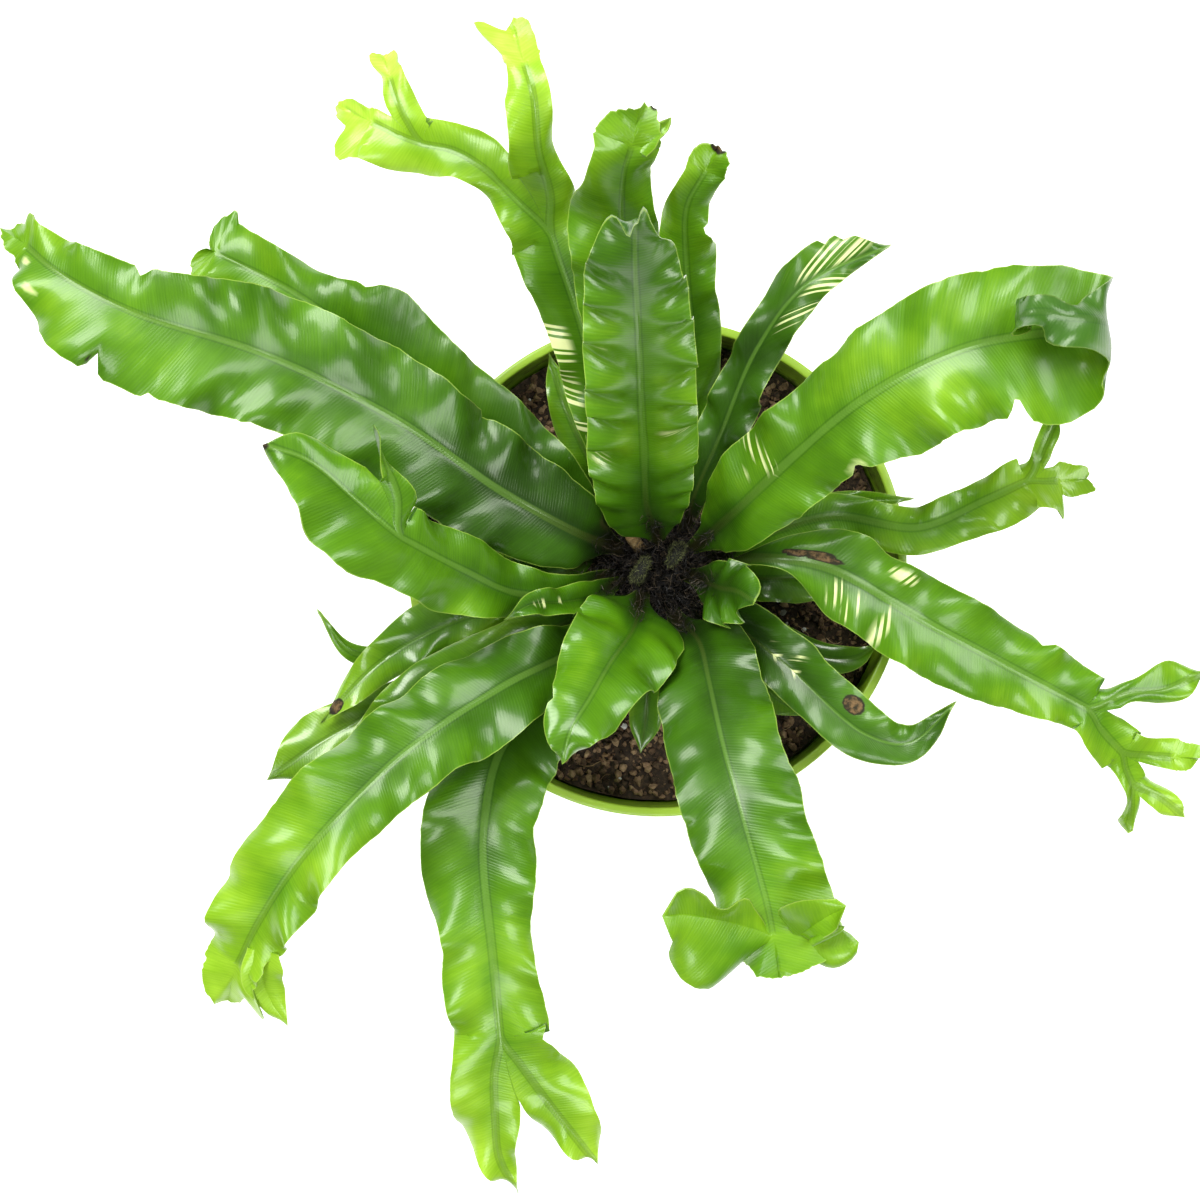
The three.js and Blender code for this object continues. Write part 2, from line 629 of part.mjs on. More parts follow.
// Grows a limb, and the two limbs of its fork if it has one.
function growFork(sheet, frond, fork, trunk, along, starts) {
  const { points, left } = trunk;
  const grown = fork.map((limb) => (
    { limb, ...limbRows(frond, limb, points, points.length - 1, along, left) }));
  const hub = Array(frond.columns + 1).fill(starts[0][0]);
  grown.forEach((part, k) => {
    const partner = grown[1 - k];
    const isLeftLimb = k === 0;
    const leftStart = isLeftLimb ? starts[0] : hub;
    const rightStart = isLeftLimb ? hub : starts[1];
    const lastLeft = layHalf(sheet, frond, part.limb, part.rows, true, leftStart,
      isLeftLimb ? null : partner);
    const lastRight = layHalf(sheet, frond, part.limb, part.rows, false, rightStart,
      isLeftLimb ? partner : null);
    if (part.limb.fork) {
      growFork(sheet, frond, part.limb.fork, part, along + part.length, [lastLeft, lastRight]);
    }
  });
}

function frondGeometry(frond) {
  const { place, normal } = crownSeat(frond.azimuth, frond.rise, SEAT_GAP);
  const stalk = [place, place.clone().addScaledVector(normal, STALK_START)];
  const trunk = limbRows(frond, frond, stalk, 0, 0, inPlane(frond.heading, [0, 1, 0]));
  frond.length = trunk.length + (frond.fork ? FORK_REACH : 0);
  const sheet = new Sheet();
  const lastLeft = layHalf(sheet, frond, frond, trunk.rows, true, null, null);
  const lastRight = layHalf(sheet, frond, frond, trunk.rows, false, null, null);
  if (frond.fork) growFork(sheet, frond, frond.fork, trunk, trunk.length, [lastLeft, lastRight]);
  return sheet.solid();
}

// A closed body of revolution about +Z. The profile runs from the axis round to the axis again, as
// pairs of radius and height, and may be reshaped by the angle.
function revolve(profile, sides, reshape) {
  const places = [];
  const rings = profile.map(([radius, height], i) => {
    const ring = [];
    for (let k = 0; k < (radius === 0 ? 1 : sides); k++) {
      const angle = 2 * Math.PI * k / sides;
      const [r, z] = reshape ? reshape(radius, height, angle, i) : [radius, height];
      ring.push(places.length / 3);
      places.push(r * Math.cos(angle), r * Math.sin(angle), z);
    }
    return ring;
  });
  const order = [];
  for (let i = 0; i < rings.length - 1; i++) {
    const [lower, upper] = [rings[i], rings[i + 1]];
    for (let k = 0; k < sides; k++) {
      const n = (k + 1) % sides;
      if (lower.length > 1) order.push(lower[k], lower[n], upper.length > 1 ? upper[n] : upper[0]);
      if (upper.length > 1) order.push(lower.length > 1 ? lower[k] : lower[0], upper[n], upper[k]);
    }
  }
  const geometry = new THREE.BufferGeometry();
  geometry.setAttribute('position', new THREE.Float32BufferAttribute(places, 3));
  geometry.setIndex(order);
  return geometry;
}

// A round closed rod along a list of points, with a radius for each point.
function rod(points, radii, sides) {
  const places = [];
  let left = new THREE.Vector3(1, 0, 0);
  points.forEach((point, i) => {
    const ahead = points[Math.min(i + 1, points.length - 1)];
    const behind = points[Math.max(i - 1, 0)];
    const tangent = ahead.clone().sub(behind).normalize();
    left = left.clone().addScaledVector(tangent, -left.dot(tangent)).normalize();
    const face = tangent.clone().cross(left);
    for (let k = 0; k < sides; k++) {
      const angle = 2 * Math.PI * k / sides;
      places.push(...point.clone()
        .addScaledVector(left, radii[i] * Math.cos(angle))
        .addScaledVector(face, radii[i] * Math.sin(angle)).toArray());
    }
  });
  const [foot, tip] = [points.length * sides, points.length * sides + 1];
  places.push(...points[0].toArray(), ...points[points.length - 1].toArray());
  const order = [];
  for (let k = 0; k < sides; k++) {
    const n = (k + 1) % sides;
    order.push(foot, n, k);
    const end = (points.length - 1) * sides;
    order.push(tip, end + k, end + n);
    for (let i = 0; i < points.length - 1; i++) {
      const [a, b] = [i * sides, (i + 1) * sides];
      order.push(a + k, a + n, b + n, a + k, b + n, b + k);
    }
  }
  const geometry = new THREE.BufferGeometry();
  geometry.setAttribute('position', new THREE.Float32BufferAttribute(places, 3));
  geometry.setIndex(order);
  return geometry;
}

// Closed solids for cutting and joining.
const wasm = await Module();
wasm.setup();

function toSolid(geometry) {
  const bare = geometry.clone();
  bare.deleteAttribute('normal');
  bare.deleteAttribute('uv');
  const merged = mergeVertices(bare, 1e-4);
  return new wasm.Manifold(new wasm.Mesh({
    numProp: 3,
    vertProperties: new Float32Array(merged.attributes.position.array),
    triVerts: new Uint32Array(merged.index.array),
  }));
}

function toGeometry(solid) {
  const mesh = solid.getMesh();
  const geometry = new THREE.BufferGeometry();
  geometry.setAttribute('position', new THREE.Float32BufferAttribute(mesh.vertProperties, 3));
  geometry.setIndex(Array.from(mesh.triVerts));
  return geometry;
}

const SHOULDER_HEIGHT = POT_HEIGHT - BAND_HEIGHT;
const BAND_INSIDE = BAND_RADIUS - WALL;

function potGeometry() {
  const top = POT_HEIGHT;
  const inside = LIP_RADIUS - LIP_WIDTH;
  const cup = revolve([
    [0, 0], [FLOOR_RADIUS - FOOT_BEVEL, 0], [FLOOR_RADIUS, FOOT_BEVEL],
    [SHOULDER_RADIUS, SHOULDER_HEIGHT], [BAND_RADIUS, SHOULDER_HEIGHT + WALL],
    [BAND_RADIUS, top - LIP_DEPTH], [LIP_RADIUS, top - LIP_DEPTH + LIP_ROUND],
    [LIP_RADIUS, top - LIP_ROUND], [LIP_RADIUS - LIP_ROUND, top],
    [inside + LIP_ROUND, top], [inside, top - LIP_ROUND],
    [BAND_INSIDE, SHOULDER_HEIGHT + 2 * WALL], [SHOULDER_RADIUS - WALL, SHOULDER_HEIGHT + WALL],
    [FLOOR_RADIUS - WALL, FLOOR], [0, FLOOR],
  ], POT_SIDES);
  let solid = toSolid(cup);
  for (let i = 0; i < DRAINS; i++) {
    const angle = 2 * Math.PI * i / DRAINS;
    const drill = new THREE.CylinderGeometry(DRAIN_RADIUS, DRAIN_RADIUS, 4 * FLOOR, DRAIN_SIDES);
    drill.rotateX(Math.PI / 2);
    drill.translate(DRAIN_CIRCLE * Math.cos(angle), DRAIN_CIRCLE * Math.sin(angle), 0);
    solid = solid.subtract(toSolid(drill));
  }
  return toGeometry(solid);
}

// The soil's lumps, as a height over the plain slope.
function clods(x, y) {
  const coarse = Math.sin(0.21 * x + 1.3 * Math.sin(0.16 * y)) * Math.cos(0.18 * y + 0.9);
  const fine = Math.sin(0.47 * x + 2.1) * Math.sin(0.43 * y + 0.4 * Math.sin(0.3 * x));
  return CLOD_HEIGHT * lerp(coarse, fine, CLOD_FINENESS);
}

function soilGeometry() {
  const hole = CROWN_RADIUS + SEAT_GAP;
  const edge = BAND_INSIDE - SEAT_GAP - WALL / 4;
  const bed = SOIL_HEIGHT - CROWN_DEPTH - SEAT_GAP;
  const profile = [
    [0, FLOOR + SEAT_GAP], [FLOOR_RADIUS - WALL - 2 * SEAT_GAP, FLOOR + SEAT_GAP],
    [SHOULDER_RADIUS - WALL - 2 * SEAT_GAP, SHOULDER_HEIGHT + WALL],
    [edge, SHOULDER_HEIGHT + 3 * WALL],
  ];
  const firstTop = profile.length;
  for (let i = 0; i <= SOIL_RINGS; i++) {
    profile.push([lerp(edge, hole, i / SOIL_RINGS), SOIL_HEIGHT]);
  }
  const lastTop = profile.length - 1;
  profile.push([hole, bed], [0, bed]);
  return revolve(profile, SOIL_SIDES, (r, z, angle, i) => {
    if (i < firstTop || i > lastTop) return [r, z];
    const [x, y] = [r * Math.cos(angle), r * Math.sin(angle)];
    return [r, z + SOIL_SLOPE[0] * x + SOIL_SLOPE[1] * y + clods(x, y)];
  });
}

function crownGeometry() {
  const bottom = SOIL_HEIGHT - CROWN_DEPTH;
  const profile = [[0, bottom], [CROWN_RADIUS, bottom]];
  for (let i = 0; i < CROWN_RINGS; i++) {
    const rise = Math.PI / 2 * i / CROWN_RINGS;
    profile.push([CROWN_RADIUS * Math.cos(rise), SOIL_HEIGHT + CROWN_RISE * Math.sin(rise)]);
  }
  profile.push([0, SOIL_HEIGHT + CROWN_RISE]);
  return revolve(profile, CROWN_SIDES, (r, z, angle, i) => {
    if (i < 2 || r === 0) return [r, z];
    const scale = 0.5 + 0.5 * Math.sin(CROWN_SCALES_AROUND * angle + CROWN_SCALE_TWIST * i);
    return [r - CROWN_SCALE_DEPTH * scale, z];
  });
}

// A young frond: a stalk that ends in a flat coil.
function crozierGeometry(bud) {
  const { place, normal } = crownSeat(bud.azimuth, bud.rise, SEAT_GAP);
  const forward = inPlane(bud.heading, [1, 0, 0]);
  const neck = place.clone().addScaledVector(normal, CROZIER_NECK);
  const middle = neck.clone().addScaledVector(forward, bud.coil);
  const points = [place, neck.clone()];
  const radii = [CROZIER_THICKNESS, CROZIER_THICKNESS];
  for (let i = 1; i <= CROZIER_STEPS; i++) {
    const share = i / CROZIER_STEPS;
    const turn = Math.PI - share * CROZIER_TURN;
    const reach = bud.coil * (1 - CROZIER_CLOSING * share);
    points.push(middle.clone()
      .addScaledVector(forward, reach * Math.cos(turn))
      .addScaledVector(upright, reach * Math.sin(turn)));
    radii.push(CROZIER_THICKNESS * (1 - CROZIER_TAPER * share));
  }
  return rod(points, radii, CROZIER_SIDES);
}

function stubGeometry() {
  const { place, normal } = crownSeat(STUB.azimuth, STUB.rise, SEAT_GAP);
  const end = place.clone().addScaledVector(normal, STUB.length);
  const middle = place.clone().lerp(end, 0.5);
  return rod([place, middle, end], [STUB.radius, STUB.radius, STUB.endRadius], STUB_SIDES);
}

function material(color, roughness) {
  return new THREE.MeshStandardMaterial({ color, roughness, metalness: 0 });
}

const fern = new THREE.Group();

function add(name, geometry, finish) {
  const mesh = new THREE.Mesh(geometry, finish);
  mesh.name = name;
  fern.add(mesh);
}

add('pot', potGeometry(), material(0x9bd01f, 0.35));
add('soil', soilGeometry(), material(0x35241a, 0.95));
add('crown', crownGeometry(), material(0x17110d, 0.9));
for (const bud of CROZIERS) add(bud.name, crozierGeometry(bud), material(0x5d6a3c, 0.8));
add(STUB.name, stubGeometry(), material(0xc9b98a, 0.7));
for (const frond of LONG_FRONDS) add(frond.name, frondGeometry(frond), material(0x4f9a1c, 0.3));
for (const frond of INNER_FRONDS) add(frond.name, frondGeometry(frond), material(0x2f7d1a, 0.25));
for (const frond of LOW_FRONDS) add(frond.name, frondGeometry(frond), material(0x2a6a1c, 0.3));

export default fern;
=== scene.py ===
# %% [markdown]
# # A potted bird's nest fern
# The real object is a fern in a round lime green pot. Its fronds are glossy straps that wave at their
# margins and fork or curl at their tips. This file dresses the packed frame, so it starts by loading it.
# Every piece is made in metres in the frame's own coordinates, with +Z up and the pot's foot at zero.

# %% Load the frame
import math
import bpy
import numpy as np
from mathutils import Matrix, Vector, noise


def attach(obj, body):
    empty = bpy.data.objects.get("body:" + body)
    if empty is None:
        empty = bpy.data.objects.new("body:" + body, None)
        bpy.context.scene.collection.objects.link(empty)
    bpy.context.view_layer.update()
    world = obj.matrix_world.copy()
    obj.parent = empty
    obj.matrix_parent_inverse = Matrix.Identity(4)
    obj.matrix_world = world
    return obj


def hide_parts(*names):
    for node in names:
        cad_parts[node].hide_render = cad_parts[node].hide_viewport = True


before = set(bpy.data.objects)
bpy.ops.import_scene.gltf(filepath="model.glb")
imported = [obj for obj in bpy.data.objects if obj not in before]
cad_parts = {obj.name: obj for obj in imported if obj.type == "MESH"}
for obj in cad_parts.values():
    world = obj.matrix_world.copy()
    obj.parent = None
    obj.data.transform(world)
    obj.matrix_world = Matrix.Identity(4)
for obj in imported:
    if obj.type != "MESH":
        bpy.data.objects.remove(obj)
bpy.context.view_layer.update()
MM = 0.001
TAU = 2 * math.pi

# %% [markdown]
# ## Camera
# The picture was taken from straight above, a little to the left of the pot's middle. A camera with no
# turn looks straight down, with +Y up in the picture, so its place and its lens are all that it needs.

# %% Camera
CAMERA_PLACE = (-0.0185, -0.0105, 0.830)
LENS = 65.7
SENSOR = 36.0

camera_data = bpy.data.cameras.new("camera")
camera_data.sensor_width = SENSOR
camera_data.lens = LENS
camera = bpy.data.objects.new("camera", camera_data)
camera.location = CAMERA_PLACE
bpy.context.scene.collection.objects.link(camera)
bpy.context.scene.camera = camera
print("camera at", tuple(round(v, 4) for v in camera.location))

# %% [markdown]
# ## Shader and geometry expressions
# A material or a tree of Geometry Nodes is a sum of small steps. Wiring each step by hand hides the idea,
# so a thin class wraps a socket and turns Python's operators into Math nodes. Everything that isn't
# plain arithmetic comes from one method, which takes the node's type, its settings and its inputs.

# %% Expressions on sockets
class Value:
    """An output socket that can be added, multiplied and compared as if it were a number."""

    def __init__(self, net, socket):
        self.net = net
        self.socket = socket

    def math(self, operation, *others):
        return self.net.node("ShaderNodeMath", {"operation": operation}, dict(enumerate((self, *others))))

    def __add__(self, other):
        return self.math("ADD", other)

    __radd__ = __add__

    def __sub__(self, other):
        return self.math("SUBTRACT", other)

    def __rsub__(self, other):
        return self.net.node("ShaderNodeMath", {"operation": "SUBTRACT"}, {0: other, 1: self})

    def __mul__(self, other):
        return self.math("MULTIPLY", other)

    __rmul__ = __mul__

    def __truediv__(self, other):
        return self.math("DIVIDE", other)

    def __abs__(self):
        return self.math("ABSOLUTE")

    def sin(self):
        return self.math("SINE")

    def power(self, other):
        return self.math("POWER", other)

    def at_most(self, other):
        return self.math("MINIMUM", other)

    def step(self, start, end, low=0.0, high=1.0):
        """Goes smoothly from low at start to high at end."""
        return self.net.node("ShaderNodeMapRange", {"interpolation_type": "SMOOTHSTEP"}, {
            "Value": self, "From Min": start, "From Max": end, "To Min": low, "To Max": high})


print("Value also has:", [name for name in vars(Value) if not name.startswith("_")])

# %% The net that holds the nodes
class Net:
    """A node tree, and the one method that adds a node to it. The others name nodes that come back often."""

    def __init__(self, tree):
        self.tree = tree
        tree.nodes.clear()

    def node(self, kind, settings=None, inputs=None, out=0):
        made = self.tree.nodes.new(kind)
        for name, value in (settings or {}).items():
            if name == "stops":
                set_stops(made.color_ramp, value)
            else:
                setattr(made, name, value)
        for key, value in (inputs or {}).items():
            socket = pick(made.inputs, key)
            if isinstance(value, Value):
                self.tree.links.new(value.socket, socket)
            elif value is not None:
                socket.default_value = value
        return Value(self, pick(made.outputs, out)) if made.outputs else made

    def mix(self, factor, a, b):
        return self.node("ShaderNodeMix", {"data_type": "RGBA"}, {
            "Factor_Float": factor, "A_Color": a, "B_Color": b}, "Result_Color")

    def noise(self, place, scale, detail=2.0, roughness=0.5, out=0):
        return self.node("ShaderNodeTexNoise", None, {
            "Vector": place, "Scale": scale, "Detail": detail, "Roughness": roughness}, out)

    def vector(self, x, y, z=0.0):
        return self.node("ShaderNodeCombineXYZ", None, {0: x, 1: y, 2: z})

    def vector_math(self, operation, first, second, out=0):
        return self.node("ShaderNodeVectorMath", {"operation": operation}, {0: first, 1: second}, out)

    def scaled(self, vector, amount):
        return self.node("ShaderNodeVectorMath", {"operation": "SCALE"}, {0: vector, "Scale": amount})

    def random(self, low, high, seed):
        return self.node("FunctionNodeRandomValue", {"data_type": "FLOAT"}, {
            "Min": low, "Max": high, "Seed": seed}, "Value")

    def place(self):
        """The point on the piece, in metres."""
        return self.node("ShaderNodeTexCoord", None, None, "Object")

    def fact(self, title):
        """A number that the mesh keeps at each point."""
        return self.node("ShaderNodeAttribute", {"attribute_name": title}, None, "Fac")

    def ramp(self, stops, value):
        return self.node("ShaderNodeValToRGB", {"stops": stops}, {0: value})

    def bump(self, height, strength, distance):
        return self.node("ShaderNodeBump", None, {
            "Strength": strength, "Distance": distance, "Height": height})


print("Net has:", [name for name in vars(Net) if not name.startswith("_")])

# %% Sockets, stops and colours
def pick(sockets, key):
    """A socket by its number, its name or its identifier, out of those that are in use."""
    if isinstance(key, int):
        return sockets[key]
    usable = [socket for socket in sockets if socket.enabled and not socket.is_unavailable]
    named = [socket for socket in usable if key in (socket.identifier, socket.name)]
    return named[0]


def set_stops(ramp, stops):
    while len(ramp.elements) > 1:
        ramp.elements.remove(ramp.elements[-1])
    for i, (place, colour) in enumerate(stops):
        stop = ramp.elements[0] if i == 0 else ramp.elements.new(place)
        stop.position = place
        stop.color = colour


def screen(red, green, blue):
    """A colour as a screen shows it, from 0 to 255, turned into the light values that shaders use."""
    shares = [v / 255 for v in (red, green, blue)]
    return (*[s / 12.92 if s < 0.04045 else ((s + 0.055) / 1.055) ** 2.4 for s in shares], 1.0)


print("mid leaf green in light values:", [round(v, 3) for v in screen(97, 139, 40)])

# %% [markdown]
# ## Baking a tree into a mesh
# Geometry Nodes make what repeats here: grains, rootlets, scales, hairs, ripples and veins. Each
# tree has named inputs. They are set by identifier, and then the evaluated result becomes a plain mesh,
# because instances don't leave Blender.

# %% Materials
def titled(key):
    """The name of a shader's socket, from the word that Python can use for it."""
    return key.replace("_", " ").title().replace("Ior", "IOR")


def new_material(name, **shader):
    """A material with a Principled shader. Gives back the material, its net and its shader's node."""
    material = bpy.data.materials.new(name)
    material.use_nodes = True
    net = Net(material.node_tree)
    surface = net.node("ShaderNodeBsdfPrincipled")
    principled = surface.socket.node
    for key, value in shader.items():
        principled.inputs[titled(key)].default_value = value
    output = material.node_tree.nodes.new("ShaderNodeOutputMaterial")
    material.node_tree.links.new(surface.socket, output.inputs["Surface"])
    return material, net, principled


def feed(net, principled, **links):
    for key, value in links.items():
        net.tree.links.new(value.socket, principled.inputs[titled(key)])


print("specular_ior_level stands for", titled("specular_ior_level"))

# %% Trees
def new_tree(name, **inputs):
    """A tree of Geometry Nodes with a geometry input, a material input and named numbers."""
    tree = bpy.data.node_groups.new(name, "GeometryNodeTree")
    tree.interface.new_socket("Geometry", in_out="INPUT", socket_type="NodeSocketGeometry")
    tree.interface.new_socket("Geometry", in_out="OUTPUT", socket_type="NodeSocketGeometry")
    tree.interface.new_socket("Material", in_out="INPUT", socket_type="NodeSocketMaterial")
    for title, value in inputs.items():
        kind = "NodeSocketInt" if isinstance(value, int) else "NodeSocketFloat"
        socket = tree.interface.new_socket(title.replace("_", " "), in_out="INPUT", socket_type=kind)
        socket.default_value = value
    net = Net(tree)
    entry = tree.nodes.new("NodeGroupInput")
    given = {s.name: Value(net, s) for s in entry.outputs if s.name}
    return net, given


def close_tree(net, geometry, material):
    real = net.node("GeometryNodeRealizeInstances", None, {0: geometry})
    painted = net.node("GeometryNodeSetMaterial", None, {"Geometry": real, "Material": material})
    leave = net.tree.nodes.new("NodeGroupOutput")
    net.tree.links.new(painted.socket, leave.inputs[0])


print("a tree starts with its named inputs and ends in real, painted geometry")

# %% Baking and objects
def bake(name, mesh, tree, material, **values):
    """Runs the tree on the mesh and gives back a plain object with the result."""
    carrier = bpy.data.objects.new(name + "_carrier", mesh)
    bpy.context.scene.collection.objects.link(carrier)
    modifier = carrier.modifiers.new("rule", "NODES")
    modifier.node_group = tree
    wanted = {title.replace("_", " "): value for title, value in values.items()}
    wanted["Material"] = material
    for item in tree.interface.items_tree:
        if item.in_out == "INPUT" and item.name in wanted:
            modifier[item.identifier] = wanted[item.name]
    bpy.context.view_layer.update()
    evaluated = carrier.evaluated_get(bpy.context.evaluated_depsgraph_get())
    made = bpy.data.meshes.new_from_object(evaluated)
    bpy.data.objects.remove(carrier)
    return new_object(name, made)


def new_object(name, mesh, material=None):
    mesh.name = name
    made = bpy.data.objects.new(name, mesh)
    bpy.context.scene.collection.objects.link(made)
    if material:
        mesh.materials.clear()
        mesh.materials.append(material)
    return made


def mesh_from(name, points, faces):
    mesh = bpy.data.meshes.new(name)
    mesh.from_pydata([tuple(p) for p in points], [], faces)
    mesh.update()
    return mesh


def settle(piece, slot, *nodes, sharp_above=None):
    """Shades the piece, hangs it on the root body and hides the frame's parts that it stands for. The slot is
    not used.
    """
    if sharp_above:
        piece.data.shade_smooth()
        piece.data.set_sharp_from_angle(angle=math.radians(sharp_above))
    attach(piece, "root")
    if nodes:
        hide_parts(*nodes)
    print(f"{piece.name}: {len(piece.data.vertices)} points, {len(piece.data.polygons)} faces")


print("a tree runs on a carrier object, which doesn't stay")

# %% [markdown]
# ## Light and floor
# The picture has a plain white ground and broad, soft, slightly blue sheen on the leaves, which comes
# from a bright ceiling. Three large panels overhead do that. A weaker sky fills the shadows, and the floor
# glows a little, as a light table does, so that it stays white under the leaves.

# %% Light and floor
FLOOR_SIZE = 3.0
FLOOR_GAP = 0.5 * MM
FLOOR_GLOW = 0.6
SKY_COLOUR = (0.97, 0.99, 1.0, 1.0)
SKY_STRENGTH = 0.13


def panel(name, place, width, height, power, colour=(1.0, 1.0, 1.0)):
    """A soft lamp that faces the middle of the pot's foot."""
    data = bpy.data.lights.new(name, "AREA")
    data.shape = "RECTANGLE"
    data.size = width
    data.size_y = height
    data.energy = power
    data.color = colour
    lamp = bpy.data.objects.new(name, data)
    lamp.location = place
    lamp.rotation_euler = Vector(place).to_track_quat("Z", "Y").to_euler()
    bpy.context.scene.collection.objects.link(lamp)


panel("ceiling_left", (-0.6, 0.7, 1.3), 1.0, 0.6, 24.0, (1.0, 1.0, 0.98))
panel("ceiling_right", (0.8, 0.3, 1.35), 0.6, 0.9, 14.0)
panel("ceiling_front", (-0.1, -0.9, 1.3), 0.8, 0.45, 9.5)

world = bpy.data.worlds.new("room")
bpy.context.scene.world = world
world.use_nodes = True
sky = world.node_tree.nodes["Background"]
sky.inputs["Color"].default_value = SKY_COLOUR
sky.inputs["Strength"].default_value = SKY_STRENGTH
bpy.context.scene.view_settings.view_transform = "Standard"

floor_paint, net, shader = new_material("floor_paint", base_color=(0.9, 0.9, 0.9, 1.0), roughness=0.9,
                                        emission_color=(1.0, 1.0, 1.0, 1.0), emission_strength=FLOOR_GLOW)
corners = [(x * FLOOR_SIZE, y * FLOOR_SIZE, -FLOOR_GAP) for x, y in ((-1, -1), (1, -1), (1, 1), (-1, 1))]
floor = new_object("floor", mesh_from("floor", corners, [(0, 1, 2, 3)]), floor_paint)
print("three panels, a sky and a floor of", 2 * FLOOR_SIZE, "m")

# %% [markdown]
# ## The pot's shape
# It is a moulded plastic cup: a tapered wall, a straight band at the top and a narrow lip. The shape
# follows a rule, because one outline is turned about the axis, so a tree of Geometry Nodes makes it. The
# outline goes in as a line of points, a circle carries it round, and drills on a ring cut the drain holes.

# %% Pot sizes
POT_TOP = 128 * MM
LIP_RADIUS = 80 * MM
LIP_WIDTH = 3 * MM
LIP_DEPTH = 4 * MM
LIP_EDGE = 0.6 * MM
BAND_RADIUS = 78.4 * MM
BAND_FOOT = 96 * MM
SHOULDER_RADIUS = 76.6 * MM
FOOT_RADIUS = 56 * MM
FOOT_GROOVE = ((8, 0), (6, 1), (3, 0))
FOOT_EDGE = 1.5 * MM
CORNER = 0.9 * MM
WALL = 1.6 * MM
POT_FLOOR = 2.4 * MM
DRAIN_CIRCLE = 38 * MM
DRAIN_RADIUS = 4 * MM
POT_SIDES = 192
DRILL_SIDES = 24


def rounded(points, radius, steps=4):
    """The outline with each inner corner turned into a small arc."""
    done = [points[0]]
    for before, corner, after in zip(points, points[1:], points[2:]):
        before, corner, after = (np.array(p, float) for p in (before, corner, after))
        back, on = before - corner, after - corner
        reach = min(radius, 0.45 * np.linalg.norm(back), 0.45 * np.linalg.norm(on))
        start = corner + back / np.linalg.norm(back) * reach
        end = corner + on / np.linalg.norm(on) * reach
        for t in np.linspace(0, 1, steps + 1):
            done.append(tuple((1 - t) ** 2 * start + 2 * t * (1 - t) * corner + t * t * end))
    return done + [points[-1]]


inside = LIP_RADIUS - LIP_WIDTH
lip_foot = POT_TOP - LIP_DEPTH
outline = rounded([
    (0, 0), *[(FOOT_RADIUS - inset * MM, rise * MM) for inset, rise in FOOT_GROOVE],
    (FOOT_RADIUS, FOOT_EDGE), (SHOULDER_RADIUS, BAND_FOOT), (BAND_RADIUS, BAND_FOOT + WALL),
    (BAND_RADIUS, lip_foot), (LIP_RADIUS, lip_foot + LIP_EDGE), (LIP_RADIUS, POT_TOP),
    (inside, POT_TOP), (inside, lip_foot), (BAND_RADIUS - WALL, lip_foot - 1 * MM),
    (BAND_RADIUS - WALL, BAND_FOOT + 2 * WALL), (SHOULDER_RADIUS - WALL, BAND_FOOT + WALL),
    (FOOT_RADIUS - WALL, POT_FLOOR), (0, POT_FLOOR)], CORNER)
print("outline:", len(outline), "points, from the foot up, over the lip and down inside")

# %% Pot tree
net, given = new_tree("turned pot", Sides=POT_SIDES, Drains=6, Drain_Radius=DRAIN_RADIUS,
                      Drain_Circle=DRAIN_CIRCLE)
path = net.node("GeometryNodeCurvePrimitiveCircle", None, {"Resolution": given["Sides"], "Radius": 1.0})
path = net.node("GeometryNodeSetCurveNormal", {"mode": "Z_UP"}, {0: path})
profile = net.node("GeometryNodeMeshToCurve", None, {0: given["Geometry"]})
swept = net.node("GeometryNodeCurveToMesh", None, {"Curve": path, "Profile Curve": profile})
shell = net.node("GeometryNodeMergeByDistance", None, {"Geometry": swept, "Distance": 0.01 * MM})
drill = net.node("GeometryNodeMeshCylinder", None, {
    "Vertices": DRILL_SIDES, "Radius": given["Drain Radius"], "Depth": 4 * POT_FLOOR}, "Mesh")
ring = net.node("GeometryNodeCurvePrimitiveCircle", None, {
    "Resolution": given["Drains"], "Radius": given["Drain Circle"]})
spots = net.node("GeometryNodeCurveToPoints", {"mode": "EVALUATED"}, {0: ring})
drills = net.node("GeometryNodeInstanceOnPoints", None, {"Points": spots, "Instance": drill})
drills = net.node("GeometryNodeRealizeInstances", None, {0: drills})
drilled = net.node("GeometryNodeMeshBoolean", {"operation": "DIFFERENCE"}, {0: shell, 1: drills}, "Mesh")
close_tree(net, drilled, given["Material"])
pot_tree = net.tree
print("pot tree:", len(pot_tree.nodes), "nodes")

# %% [markdown]
# ## The pot's plastic
# The plastic is lime green and worn: faint upright flow marks, fine scratches, and
# dried soil on the inner wall just above the potting mix. The top of the lip is painted lighter, a painted
# highlight. Height and radius tell where each one goes.

# %% Pot plastic
lime, net, shader = new_material("lime_plastic", coat_weight=0.15, coat_roughness=0.3)
place = net.place()
height = net.node("ShaderNodeSeparateXYZ", None, {0: place}, 2)
across = net.vector_math("LENGTH", net.vector_math("MULTIPLY", place, (1, 1, 0)), None, "Value")
is_inside = across.step(0.0778, 0.0774) * height.step(0.0972, 0.0985)
above_soil = height.step(0.127, 0.108)
stain = net.noise(place, 90, 6, 0.65).step(0.46, 0.66) * is_inside * above_soil
film = net.noise(place, 28, 5, 0.6).step(0.35, 0.7) * is_inside * 0.6
dust = net.noise(place, 60, 8, 0.7).step(0.52, 0.78) * height.step(0.05, 0.0) * 0.5
stretched = net.vector_math("MULTIPLY", place, (1, 1, 0.04))
flow = net.noise(stretched, 160, 3, 0.5)
scratch = net.noise(stretched, 900, 2, 0.6).step(0.62, 0.7)
green = net.mix(flow * 0.5, screen(142, 190, 28), screen(170, 214, 44))
# The top two millimetres of the lip are painted a lighter lime: a painted highlight where the lip faces the
# lamps.
green = net.mix(height.step(0.1262, 0.1285) * 0.6, green, screen(188, 224, 78))
green = net.mix(film * 0.55, green, screen(112, 132, 44))
green = net.mix(dust, green, screen(120, 112, 80))
colour = net.mix(stain, green, screen(64, 56, 34))
